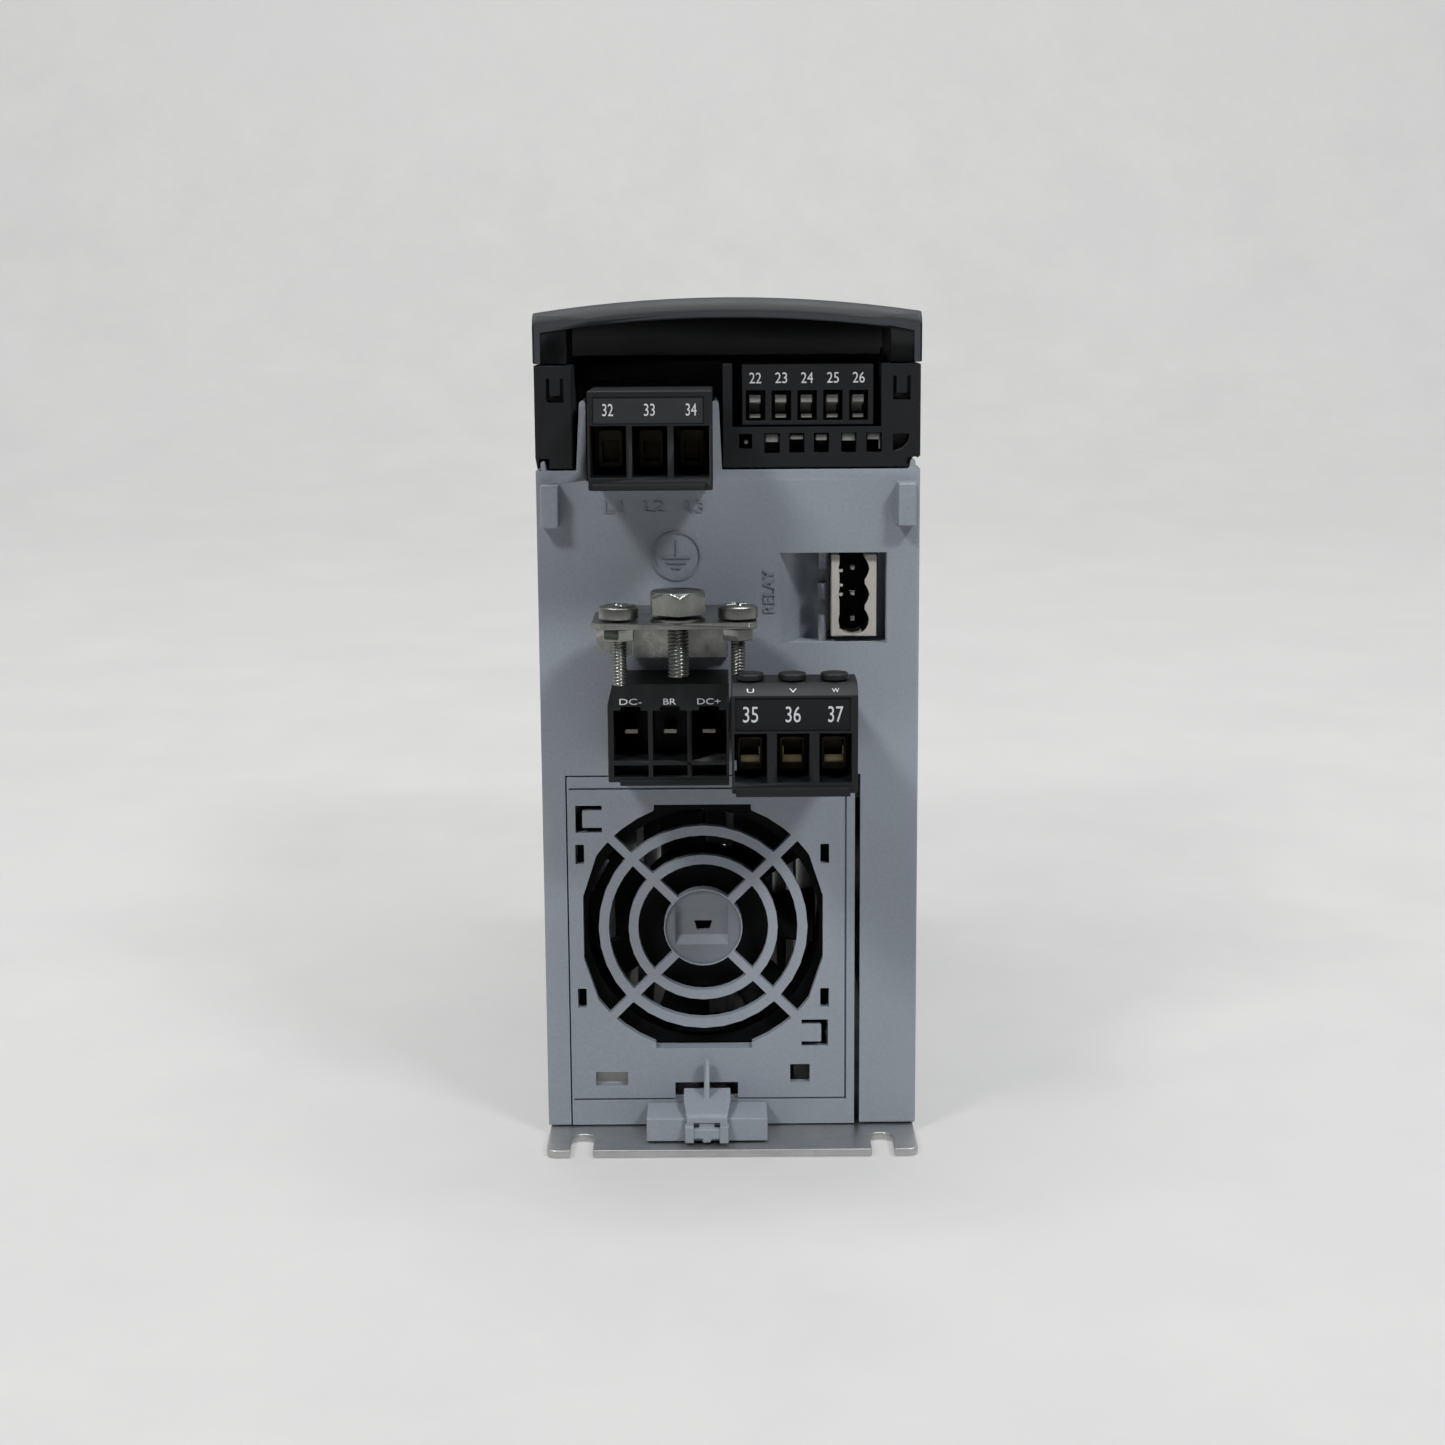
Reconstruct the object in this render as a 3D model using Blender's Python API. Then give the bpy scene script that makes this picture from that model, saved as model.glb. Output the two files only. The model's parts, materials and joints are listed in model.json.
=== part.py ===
"""Compact variable frequency drive, book style, 75 x 210 x 168 mm.

The drive stands on its back plate. X runs across its width, +Y runs up the wall from the
connection end to the top end, and +Z points out of the back plate towards the front cover.
The origin is the centre of the back plate's underside. Sizes below are in millimetres.
"""
import math

import bmesh
import bpy
from mathutils import Vector

MM = 0.001

# Driving dimensions.
PLATE_LENGTH = 210.0
PLATE_HALF = 37.0
PLATE_THICK = 1.5
SLOT_X = 30.0
SLOT_R = 2.25
KEYHOLE_R = 4.5
SLOT_EDGE = 7.3
KEY_EDGE = 5.0
KEY_DROP = 8.0

HALF_W = 37.4
FACE = -90.7
END = 84.0
DEPTH = 168.0
WALL = 2.2
GAP = 0.3

SHELL_TOP = 135.0
CONTROL_TOP = 155.2
ARCH_EDGE = 165.2
ARCH_STEPS = 14
COVER_END = -8.0

FAN_X = -5.55
FAN_Z = 43.2
FAN_LEFT = -32.5
FAN_RIGHT = 24.9
FAN_SIDE_GAP = 1.1
FAN_TOP = 74.2
FAN_SIZE = 50.0
HUB_SET_BACK = 0.5
OPENING_R = 26.0
OPENING_FLAT = (24.1, 6.4)
OPENING_TURN = (21.6, 15.1)

PITCH = 7.7
CONTROL_PITCH = 5.0
RELAY_PITCH = 5.08

MAINS_FRONT = FACE - 22.0
DC_FRONT = FACE - 18.5
MOTOR_FRONT = FACE - 36.0
PE_Y = FACE - 22.0

FRONT_END = -PLATE_LENGTH / 2
TOP_END = PLATE_LENGTH / 2


# Shapes: each is (points, faces), in millimetres.
def box(x0, x1, y0, y1, z0, z1):
    points = [(x, y, z) for x in (x0, x1) for y in (y0, y1) for z in (z0, z1)]
    faces = [(0, 1, 3, 2), (4, 6, 7, 5), (0, 4, 5, 1), (2, 3, 7, 6), (0, 2, 6, 4), (1, 5, 7, 3)]
    return points, faces


def along(axis, u, v, t):
    """A point from its place in the outline (u, v) and its distance t along the axis."""
    if axis == "X":
        return (t, u, v)
    if axis == "Y":
        return (u, t, v)
    return (u, v, t)


def loft(rings):
    """A closed solid through rings of points, all with the same count."""
    count = len(rings[0])
    points = [point for ring in rings for point in ring]
    faces = [tuple(range(count)), tuple(range(len(points) - count, len(points)))]
    for level in range(len(rings) - 1):
        base = level * count
        for i in range(count):
            j = (i + 1) % count
            faces.append((base + i, base + j, base + count + j, base + count + i))
    return points, faces


def prism(outline, axis, a, b):
    return loft([[along(axis, u, v, t) for u, v in outline] for t in (a, b)])


def arc(cu, cv, r, start, stop, steps):
    """Points of an arc, with its angles in degrees."""
    angles = [math.radians(start + (stop - start) * i / steps) for i in range(steps + 1)]
    return [(cu + r * math.cos(angle), cv + r * math.sin(angle)) for angle in angles]


def circle(cu, cv, r, count=24, turn=0.0):
    return arc(cu, cv, r, turn, turn + 360.0, count)[:-1]


def cylinder(cu, cv, r, axis, a, b, count=24, turn=0.0):
    return prism(circle(cu, cv, r, count, turn), axis, a, b)


def turned(cu, cv, axis, profile, count=24):
    """A round solid from a profile of (radius, distance along the axis)."""
    rings = []
    for r, t in profile:
        rings.append([along(axis, u, v, t) for u, v in circle(cu, cv, r, count)])
    return loft(rings)


def rounded(u0, u1, v0, v1, r, steps=4):
    """A rectangle with round corners."""
    corners = [(u1 - r, v0 + r, -90), (u1 - r, v1 - r, 0), (u0 + r, v1 - r, 90), (u0 + r, v0 + r, 180)]
    outline = []
    for cu, cv, start in corners:
        outline += arc(cu, cv, r, start, start + 90, steps)
    return outline


# Objects.
def clear_scene():
    for obj in list(bpy.data.objects):
        bpy.data.objects.remove(obj, do_unlink=True)


def finish_of(name, colour, roughness, metallic=0.0):
    found = bpy.data.materials.get(name)
    if found:
        return found
    made = bpy.data.materials.new(name)
    made.use_nodes = True
    shader = made.node_tree.nodes["Principled BSDF"]
    shader.inputs["Base Color"].default_value = (*colour, 1.0)
    shader.inputs["Roughness"].default_value = roughness
    shader.inputs["Metallic"].default_value = metallic
    return made


def grey_plastic():
    return finish_of("grey_plastic", (0.21, 0.225, 0.25), 0.55)


def black_plastic():
    return finish_of("black_plastic", (0.016, 0.018, 0.02), 0.42)


def cover_plastic():
    return finish_of("cover_plastic", (0.045, 0.05, 0.055), 0.5)


def beige_plastic():
    return finish_of("beige_plastic", (0.45, 0.43, 0.39), 0.5)


def bare_aluminium():
    return finish_of("bare_aluminium", (0.72, 0.73, 0.74), 0.35, 1.0)


def zinc_steel():
    return finish_of("zinc_steel", (0.66, 0.66, 0.63), 0.3, 1.0)


def brass():
    return finish_of("brass", (0.72, 0.62, 0.42), 0.35, 1.0)


def circuit_board():
    return finish_of("circuit_board", (0.02, 0.14, 0.06), 0.4)


def capacitor_sleeve():
    return finish_of("capacitor_sleeve", (0.03, 0.04, 0.09), 0.35)


def copper():
    return finish_of("copper", (0.75, 0.36, 0.2), 0.35, 1.0)


def lens_plastic():
    return finish_of("lens_plastic", (0.55, 0.6, 0.55), 0.25)


def mesh_object(name, shapes, origin):
    bm = bmesh.new()
    for points, faces in shapes:
        verts = [bm.verts.new((Vector(point) - Vector(origin)) * MM) for point in points]
        for face in faces:
            bm.faces.new([verts[i] for i in face])
    bmesh.ops.recalc_face_normals(bm, faces=bm.faces)
    mesh = bpy.data.meshes.new(name)
    bm.to_mesh(mesh)
    bm.free()
    mesh.shade_smooth()
    mesh.set_sharp_from_angle(angle=math.radians(32))
    obj = bpy.data.objects.new(name, mesh)
    obj.location = Vector(origin) * MM
    bpy.context.collection.objects.link(obj)
    return obj


def boolean(target, tool, operation):
    tool.hide_render = True
    tool.display_type = "WIRE"
    change = target.modifiers.new(operation.lower(), "BOOLEAN")
    change.operation = operation
    change.solver = "EXACT"
    change.use_self = True
    change.object = tool


def part(name, finish, shapes, cuts=(), origin=(0.0, 0.0, 0.0)):
    """A sub-part: the first shape, with the others joined on and the cuts taken out."""
    obj = mesh_object(name, shapes[:1], origin)
    obj.data.materials.append(finish)
    if len(shapes) > 1:
        boolean(obj, mesh_object(name + ".added", shapes[1:], origin), "UNION")
    if cuts:
        boolean(obj, mesh_object(name + ".cutter", list(cuts), origin), "DIFFERENCE")
    return obj


def arch_radius():
    rise = DEPTH - ARCH_EDGE
    return (HALF_W ** 2 + rise ** 2) / (2 * rise)


def arch_line(half, drop=0.0, steps=ARCH_STEPS):
    """The cover's arched line from +half to -half, lowered by drop."""
    centre = DEPTH - arch_radius()
    points = []
    for i in range(steps + 1):
        x = half - 2 * half * i / steps
        points.append((x, centre + math.sqrt(arch_radius() ** 2 - x ** 2) - drop))
    return points


# Back plate and heat sink.
def make_back_plate():
    outline = rounded(-PLATE_HALF, PLATE_HALF, FRONT_END, TOP_END, 2.0)
    cuts = []
    for side in (-1, 1):
        x = side * SLOT_X
        slot_y = FRONT_END + SLOT_EDGE
        slot = arc(x, slot_y, SLOT_R, 0, 180, 8) + [(x - SLOT_R, FRONT_END - 1), (x + SLOT_R, FRONT_END - 1)]
        cuts.append(prism(slot, "Z", -1, PLATE_THICK + 1))
        key_y = TOP_END - KEY_EDGE
        neck = math.degrees(math.asin(SLOT_R / KEYHOLE_R))
        keyhole = arc(x, key_y, SLOT_R, 0, 180, 8)
        keyhole += arc(x, key_y - KEY_DROP, KEYHOLE_R, 90 + neck, 450 - neck, 20)
        cuts.append(prism(keyhole, "Z", -1, PLATE_THICK + 1))
    part("back_plate", bare_aluminium(), [prism(outline, "Z", 0, PLATE_THICK)], cuts)


def make_heat_sink():
    fins = 11
    half = 33.0
    fin = 1.7
    root = 62.0
    pitch = (2 * half - fin) / (fins - 1)
    outline = [(half, root + 8), (-half, root + 8)]
    for i in range(fins):
        left = -half + i * pitch
        outline += [(left, PLATE_THICK + GAP), (left + fin, PLATE_THICK + GAP)]
        if i < fins - 1:
            outline += [(left + fin, root), (left + pitch, root)]
    part("heat_sink", bare_aluminium(), [prism(outline, "Y", -55, 78)])


# Grey main shell.
def relay_pocket():
    """Recess for the relay plug, with a slanted left wall."""
    depth = FACE + 8.5
    left = [(9.98, FACE - 1), (9.98, FACE), (14.4, depth), (31.07, depth), (31.07, FACE - 1)]
    points = [(x, y, 100.8) for x, y in left]
    tops = [(x, y, 118.7) for x, y in left]
    return loft([points, tops])


def prong(x_in, x_low, x_top, z_top):
    """One of the two tapering cheeks beside the mains plug, with a round top."""
    side = 1 if x_top > x_in else -1
    r = abs(x_top - x_in) / 2
    outline = [(x_in, SHELL_TOP - 4), (x_low, SHELL_TOP - 4), (x_low, SHELL_TOP), (x_top, z_top - r)]
    for degrees in (30, 60, 90, 120, 150):
        angle = math.radians(degrees)
        outline.append((x_in + side * r + side * r * math.cos(angle), z_top - r + r * math.sin(angle)))
    outline.append((x_in, z_top - r))
    return prism(outline, "Y", FACE, FACE + 20)


def make_main_housing():
    inner = HALF_W - WALL
    shapes = [box(-HALF_W, HALF_W, FACE, END, PLATE_THICK + GAP, SHELL_TOP)]
    shapes.append(prong(-27.55, -29.5, -28.75, 148.4))
    shapes.append(prong(-3.15, -1.15, -1.7, 148.3))
    for side in (-1, 1):
        outer = side * 36.4
        shapes.append(box(*sorted((outer, outer - side * 3.5)), FACE - 3.6, FACE + 1, 124.1, 132.4))
        hook = [(side * 35.0, SHELL_TOP - 1), (side * 36.5, SHELL_TOP - 1)]
        hook += [(side * 36.5, 136.6), (side * 35.6, 137.0)]
        shapes.append(prism(hook, "Y", FACE + 0.2, FACE + 4))
    cuts = [box(-inner, inner, FACE + WALL, END - WALL, -1, SHELL_TOP - 2.4)]
    cuts.append(box(-24, 30, -62, 40, SHELL_TOP - 5, SHELL_TOP + 2))
    cuts.append(box(-27.55, -3.15, FACE - 2, FACE + 21, 132.9, 150))
    cuts.append(box(FAN_LEFT - GAP, FAN_RIGHT + FAN_SIDE_GAP, FACE - 1, FACE + 6, -1, FAN_TOP + GAP))
    cuts.append(box(-22.6, -0.7, FACE - 1, FACE + 6, 77.2, 94.6))
    cuts.append(box(0.9, 23.2, FACE - 1, FACE + 6, 77.4, 92.6))
    cuts.append(box(9.98 - 2, 33.2, FACE + 1.2, FACE + WALL + 1, 98.6, 120.9))
    for i in range(9):
        x = -30 + i * 7.5
        for z0, z1 in ((8, 20), (36, 58)):
            cuts.append(box(x - 1.6, x + 1.6, END - 5, END + 2, z0, z1))
    for side in (-1, 1):
        for i in range(10):
            y = -30 + i * 10
            cuts.append(box(*sorted((side * 30, side * 40)), y - 1.3, y + 1.3, 84, 112))
    shell = part("main_housing", grey_plastic(), shapes, cuts)
    pocket = [box(9.98 - 3, 34.2, FACE + 0.6, FACE + 11, 97.6, 121.9)]
    boolean(shell, mesh_object("main_housing.pocket", pocket, (0, 0, 0)), "UNION")
    hollow = [relay_pocket(), box(19.6, 29.7, FACE + 7, FACE + 12, 101.4, 118.4)]
    boolean(shell, mesh_object("main_housing.hollow", hollow, (0, 0, 0)), "DIFFERENCE")
    levels = ((100.4, 105.8), (109.0, 112.1), (115.1, 119.2))
    ribs = [box(17.8, 19.3, FACE + 3.6, FACE + 9.5, z0, z1) for z0, z1 in levels]
    boolean(shell, mesh_object("main_housing.ribs", ribs, (0, 0, 0)), "UNION")


# Black control housing.
def latch_groove(x, z):
    """A U-shaped groove that leaves a small catch in its middle."""
    u_shape = [(x - 1.7, z + 4.6), (x - 1.7, z), (x + 1.7, z), (x + 1.7, z + 4.6)]
    u_shape += [(x + 1.0, z + 4.6), (x + 1.0, z + 1.2), (x - 1.0, z + 1.2), (x - 1.0, z + 4.6)]
    return prism(u_shape, "Y", FACE - 1, FACE + 1.6)


def make_control_housing():
    low = SHELL_TOP + GAP
    section = [(-37.0, low), (35.4, low), (36.0, low + 1.2), (HALF_W, low + 2.2), (HALF_W, CONTROL_TOP)]
    section += [(-HALF_W, CONTROL_TOP), (-HALF_W, low + 2.2)]
    roof = arch_line(HALF_W) + [(-HALF_W, CONTROL_TOP - 1), (HALF_W, CONTROL_TOP - 1)]
    shapes = [prism(section, "Y", FACE, END), prism(roof, "Y", COVER_END + GAP, END)]
    for side in (-1, 1):
        lip = sorted((side * 34.9, side * 35.8))
        shapes.append(box(*lip, FACE + 24, COVER_END, CONTROL_TOP - 1, CONTROL_TOP + 1.4))
    cuts = [box(-35.2, 35.2, FACE + 29, END - WALL, low - 1, CONTROL_TOP - 2.2)]
    cuts.append(box(-33, 33, COVER_END + 3, END - WALL, CONTROL_TOP - 4, 160.8))
    cuts.append(box(-30.1, -0.9, FACE - 1, FACE + 26, low - 1, CONTROL_TOP + 1))
    cuts.append(box(0.9, 29.8, FACE - 1, FACE + 15, 143.2, CONTROL_TOP + 1))
    cuts.append(box(-33, 33, FACE + 32, COVER_END - 6, CONTROL_TOP - 4, CONTROL_TOP + 1))
    cuts.append(box(-26, 26, 4, 70, 163.2, DEPTH + 1))
    cuts.append(box(-24, 24, 8, 66, 158, DEPTH + 1))
    cuts.append(box(27.5, 30.5, 39.7, 62.3, 164.6, DEPTH + 1))
    cuts.append(box(-36.8, -34.7, FACE - 1, FACE + 6, low - 1, 137.3))
    cuts.append(box(34.7, 36.8, FACE - 1, FACE + 6, low - 1, 137.3))
    cuts += [latch_groove(-33.4, 148.1), latch_groove(33.7, 148.3)]
    cuts.append(box(2.2, 4.7, FACE - 1, FACE + 4, 139.0, 141.9))
    for centre in (8.6, 13.4, 18.2, 23.5, 28.4):
        cuts.append(box(centre - 1.5, centre + 1.5, FACE - 1, FACE + 4, 138.1, 142.0))
    quarter = [(32.1, 141.7), (32.1, 138.4)] + arc(32.1, 141.7, 3.1, -60, 0, 4)
    cuts.append(prism(quarter, "Y", FACE - 1, FACE + 3))
    for i in range(8):
        x = -28 + i * 8
        cuts.append(box(x - 1.4, x + 1.4, END - 5, END + 2, 140, 151))
    shell = part("control_housing", black_plastic(), shapes, cuts)
    bay = [box(-30.6, 1.4, FACE + 21.5, FACE + 24, low, 150.7)]
    for i, x in enumerate((-24.5, -19.8, -15.4, -11.0, -7.0)):
        bay.append(box(x - 1.6, x + 1.6, FACE + 24.5, FACE + 27, low, 151.3 + 0.6 * (i % 2)))
    bay.append(box(-30.6, 1.4, FACE + 23.8, FACE + 27.5, low, 149.5))
    boolean(shell, mesh_object("control_housing.bay", bay, (0, 0, 0)), "UNION")


def make_front_cover():
    """Arched lower cover: a shell with its edge eased down at the connection end."""
    half = HALF_W + 0.2
    inner = half - 1.5
    top = CONTROL_TOP + GAP
    rings = []
    for y, drop in ((FACE, 2.3), (FACE + 0.8, 1.0), (FACE + 2.4, 0.0), (COVER_END, 0.0)):
        ring = [(x, y, z) for x, z in arch_line(half, drop)]
        ring += [(-half, y, top), (-inner, y, top)]
        ring += [(-x, y, z) for x, z in arch_line(inner, 3.9)]
        ring += [(inner, y, top), (half, y, top)]
        rings.append(ring)
    shapes = [loft(rings)]
    for x0, x1 in ((-36.6, -31.1), (31.3, 36.6)):
        shapes.append(box(x0, x1, FACE + 0.4, FACE + 22, top, 164.6))
    cuts = []
    for i in range(10):
        x = -20 + 4 * i
        cuts.append(box(x, x + 2, COVER_END - 12, COVER_END - 4, 166.9, DEPTH + 1))
    part("front_cover", cover_plastic(), shapes, cuts)


def make_blind_cover():
    """Cover of the display's socket, flush with the arch, with rounded corners and a grip."""
    low = 163.5
    rings = []
    for y, inset in ((4.3, 1.6), (4.8, 0.6), (5.9, 0.0), (68.1, 0.0), (69.2, 0.6), (69.7, 1.6)):
        half = 25.7 - inset
        ring = [(x, y, z) for x, z in arch_line(half, 0.1)]
        rings.append(ring + [(-half, y, low), (half, y, low)])
    cuts = [box(-23.5, 23.5, 6.5, 67.5, low - 1, 165.2), box(-9, 9, 5.4, 8.0, 166.9, DEPTH + 1)]
    part("blind_cover", black_plastic(), [loft(rings)], cuts)


def make_status_lens():
    part("status_lens", lens_plastic(), [box(27.8, 30.2, 40, 62, 165.0, 166.6)])


# Fan module.
def opening_reach(angle):
    """Distance from the fan's centre to the edge of the grille's opening.

    The opening is round, with flat sides, a slanted flat beside each, and a notch above and below.
    """
    across = max(abs(math.cos(angle)), 1e-6)
    upward = max(abs(math.sin(angle)), 1e-6)
    rise = (OPENING_TURN[1] - OPENING_FLAT[1]) / (OPENING_FLAT[0] - OPENING_TURN[0])
    slanted = (OPENING_FLAT[1] + rise * OPENING_FLAT[0]) / (upward + rise * across)
    main = min(OPENING_R, OPENING_FLAT[0] / across, max(slanted, 0))
    notch = min(9.7 / across, 25.3 / upward)
    if main * across < 9.7:
        return notch
    return max(main, notch)


def air_gap(start, inner, outer, angles):
    """One gap of the grille, between two spokes, from its inner radius to its outer line."""
    half_spoke = 0.85
    near = math.degrees(math.asin(half_spoke / inner))
    outline = arc(FAN_X, FAN_Z, inner, start + 90 - near, start + near, 8)
    for degrees in angles:
        angle = math.radians(start + degrees)
        r = outer(angle)
        outline.append((FAN_X + r * math.cos(angle), FAN_Z + r * math.sin(angle)))
    return prism(outline, "Y", FACE - 3, FACE + 4)


def opening_turns(start, edge):
    """Angles from a spoke where the opening's line has a corner or bends."""
    if start in (-45, 135):
        corner = math.degrees(math.atan2(OPENING_TURN[1], OPENING_TURN[0]))
        flat = math.degrees(math.atan2(OPENING_FLAT[1], OPENING_FLAT[0]))
        half = [flat, corner, corner + 3]
    else:
        inside = math.degrees(math.atan2(9.7, 25.3))
        outside = math.degrees(math.asin(9.7 / OPENING_R))
        half = [inside, outside + 0.05, outside + 8, outside + 16]
    half.append(45 - edge)
    return [45 - angle for angle in reversed(half)] + [45 + angle for angle in half]


def grille_gaps():
    gaps = []
    for start in (-45, 45, 135, 225):
        for inner, outer in ((7.9, 13.1), (15.0, 19.0)):
            edge = math.degrees(math.asin(0.85 / outer))
            angles = [edge + (90 - 2 * edge) * i / 10 for i in range(11)]
            gaps.append(air_gap(start, inner, lambda angle, r=outer: r, angles))
        edge = math.degrees(math.asin(0.85 / OPENING_R))
        gaps.append(air_gap(start, 21.0, opening_reach, opening_turns(start, edge)))
    return gaps


def c_slot(x0, x1, z0, z1, side):
    """A C-shaped slot, open towards side."""
    line = 1.0
    back = 1.4
    outline = [(x1, z1), (x0, z1), (x0, z0), (x1, z0), (x1, z0 + line), (x0 + back, z0 + line)]
    outline += [(x0 + back, z1 - line), (x1, z1 - line)]
    if side < 0:
        outline = [(x0 + x1 - x, z) for x, z in outline]
    return prism(outline, "Y", FACE - 3, FACE + 4)


def make_fan_cover():
    low = PLATE_THICK + GAP
    front = FACE - 0.1
    shapes = [box(FAN_LEFT, FAN_RIGHT, front, front + 2, low, FAN_TOP)]
    shapes.append(cylinder(FAN_X, FAN_Z, 7.9, "Y", front + 1, front + 3.1, 32))
    half = FAN_SIZE / 2 + GAP
    for x0, x1 in ((FAN_X - half - 1.2, FAN_X - half), (FAN_X + half, FAN_X + half + 1.2)):
        shapes.append(box(x0, x1, front + 1, front + 19, FAN_Z - 20, FAN_Z + 20))
    shapes.append(box(FAN_X - 25, FAN_X + 25, front + 1, front + 19, FAN_Z + half, FAN_Z + half + 1.2))
    shapes.append(box(FAN_X - 25, FAN_X + 25, front + 1, front + 19, FAN_Z - half - 1.2, FAN_Z - half))
    cuts = grille_gaps()
    cuts += [c_slot(-30.9, -25.6, 62.9, 68.4, 1), c_slot(14.2, 19.6, 18.2, 23.8, -1)]
    for x, z in ((-30.15, 58.45), (18.9, 58.3), (-30.1, 28.6), (18.9, 28.4)):
        cuts.append(box(x - 0.9, x + 0.9, FACE - 3, FACE + 4, z - 2, z + 2))
    cuts.append(box(-27.6, -21.1, FACE - 3, FACE + 4, 10.0, 13.0))
    cuts.append(box(11.9, 15.9, FACE - 3, FACE + 4, 10.5, 14.4))
    cuts.append(box(-11.5, 1.3, FACE - 3, FACE + 4, 7.4, 10.7))
    groove = front + 0.7
    cuts.append(box(22.9, 23.3, front - 1, groove, 7.2, 71.8))
    cuts.append(box(FAN_LEFT + 0.4, 23.3, front - 1, groove, 71.6, 72.0))
    cuts.append(box(FAN_LEFT + 0.4, 23.3, front - 1, groove, 7.0, 7.4))
    hub = front + HUB_SET_BACK
    cuts.append(cylinder(FAN_X, FAN_Z, 7.7, "Y", front - 1, hub, 32))
    dish = [(hub - 0.3, FAN_Z - 4.0), (hub + 1.4, FAN_Z - 1.9), (hub + 1.4, FAN_Z + 2.8)]
    dish.append((hub - 0.3, FAN_Z + 5.6))
    cuts.append(prism(dish, "X", FAN_X - 5.6, FAN_X + 5.0))
    cuts.append(prism([(-7.4, 44.2), (-3.7, 44.2), (-4.3, 42.2), (-6.8, 42.2)], "Y", FACE - 3, FACE + 4))
    part("fan_cover", grey_plastic(), shapes, cuts)


def make_latch_receiver():
    block = box(-17.1, 7.1, FACE - 10.3, FACE - 0.4, PLATE_THICK + GAP, 6.6)
    part("latch_receiver", grey_plastic(), [block])


def make_fan_frame():
    half = FAN_SIZE / 2
    y0 = FACE + 3.2
    y1 = y0 + 15
    outline = rounded(FAN_X - half, FAN_X + half, FAN_Z - half, FAN_Z + half, 3.0, 3)
    shapes = [prism(outline, "Y", y0, y1)]
    cuts = [cylinder(FAN_X, FAN_Z, 23.6, "Y", y0 - 1, y1 + 1, 40)]
    for side in (-1, 1):
        for level in (-1, 1):
            cuts.append(cylinder(FAN_X + side * 20, FAN_Z + level * 20, 2.1, "Y", y0 - 1, y1 + 1, 12))
    frame = part("fan_frame", black_plastic(), shapes, cuts)
    spider = [cylinder(FAN_X, FAN_Z, 13.5, "Y", y1 - 2.2, y1 - 0.2, 24)]
    for i in range(3):
        angle = math.radians(30 + 120 * i)
        ends = []
        for r in (11.0, 24.6):
            for side in (-1, 1):
                u = FAN_X + r * math.cos(angle) - side * math.sin(angle)
                ends.append((u, FAN_Z + r * math.sin(angle) + side * math.cos(angle)))
        spider.append(prism([ends[0], ends[1], ends[3], ends[2]], "Y", y1 - 2.0, y1 - 0.4))
    spider.append(cylinder(FAN_X, FAN_Z, 1.5, "Y", y0 + 3, y1 - 1, 16))
    boolean(frame, mesh_object("fan_frame.spider", spider, (0, 0, 0)), "UNION")


def fan_blade(index, count, y_mid):
    """A pitched blade from the hub outwards, thicker at its root."""
    angle = 2 * math.pi * index / count
    radial = Vector((math.cos(angle), 0, math.sin(angle)))
    around = Vector((-math.sin(angle), 0, math.cos(angle)))
    centre = Vector((FAN_X, y_mid, FAN_Z))
    rings = []
    for r, chord, thick, pitch in ((12.6, 9.6, 1.3, 46), (17.5, 10.6, 1.1, 38), (22.4, 11.6, 0.9, 30)):
        lean = math.radians(pitch)
        flow = around * math.cos(lean) + Vector((0, 1, 0)) * math.sin(lean)
        side = around * -math.sin(lean) + Vector((0, 1, 0)) * math.cos(lean)
        ring = []
        for a, b in ((-1, -1), (0, -0.4), (1, -1), (1, 1), (0, 1.6), (-1, 1)):
            ring.append(tuple(centre + radial * r + flow * (a * chord / 2) + side * (b * thick / 2)))
        rings.append(ring)
    return loft(rings)


def make_fan_rotor():
    y0 = FACE + 4.2
    y1 = FACE + 15.2
    centre = (FAN_X, (y0 + y1) / 2, FAN_Z)
    profile = [(13.2, y0), (14.2, y0 + 1), (14.2, y1)]
    shapes = [turned(FAN_X, FAN_Z, "Y", profile, 32)]
    shapes += [fan_blade(i, 7, centre[1]) for i in range(7)]
    cuts = [cylinder(FAN_X, FAN_Z, 1.9, "Y", y0 + 1.6, y1 + 1, 16)]
    part("fan_rotor", black_plastic(), shapes, cuts, centre)


def make_fan_latch():
    """Springy tongue over the module's foot, with a thumb rib and a two-legged lip."""
    hinge = FACE - 0.6
    lip = FACE - 10.6
    thick = 1.7
    sheet = [(hinge, 7.8), (hinge, 9.6), (lip - 0.4, 7.7), (lip - 0.9, 7.1), (lip - 0.9, 6.1)]
    sheet += [(lip, 6.1), (lip, 6.95)]
    shapes = [prism(sheet, "X", -9.7, -0.3)]
    taper = [(-9.8, hinge - 4), (-9.8, lip - 2), (-8.9, lip - 2)]
    for x0, x1 in ((-9.4, -7.7), (-2.4, -0.7)):
        shapes.append(box(x0, x1, lip - thick, lip, 2.1, 5.4))
        shapes.append(box(x0, x1, lip - 0.9, lip, 5.0, 7.0))
    shapes.append(box(-8.0, -2.1, lip - thick + 0.3, lip, 2.1, 4.9))
    shapes.append(box(-6.6, -3.5, lip - 0.6, lip, 4.5, 7.0))
    rib = [(hinge, 8.0), (hinge - 0.9, 16.2), (hinge - 1.8, 16.2), (hinge - 4.6, 8.0)]
    shapes.append(prism(rib, "X", -5.6, -4.5))
    cuts = [box(x - 0.9, x + 0.9, lip - 3, lip + 1, 1.0, 2.9) for x in (-6.8, -3.4)]
    cuts.append(prism(taper, "Z", 6.0, 12.0))
    cuts.append(prism([(-10.0 - x, y) for x, y in taper], "Z", 6.0, 12.0))
    part("fan_latch", grey_plastic(), shapes, cuts, (-5.0, hinge, 8.1))


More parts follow.
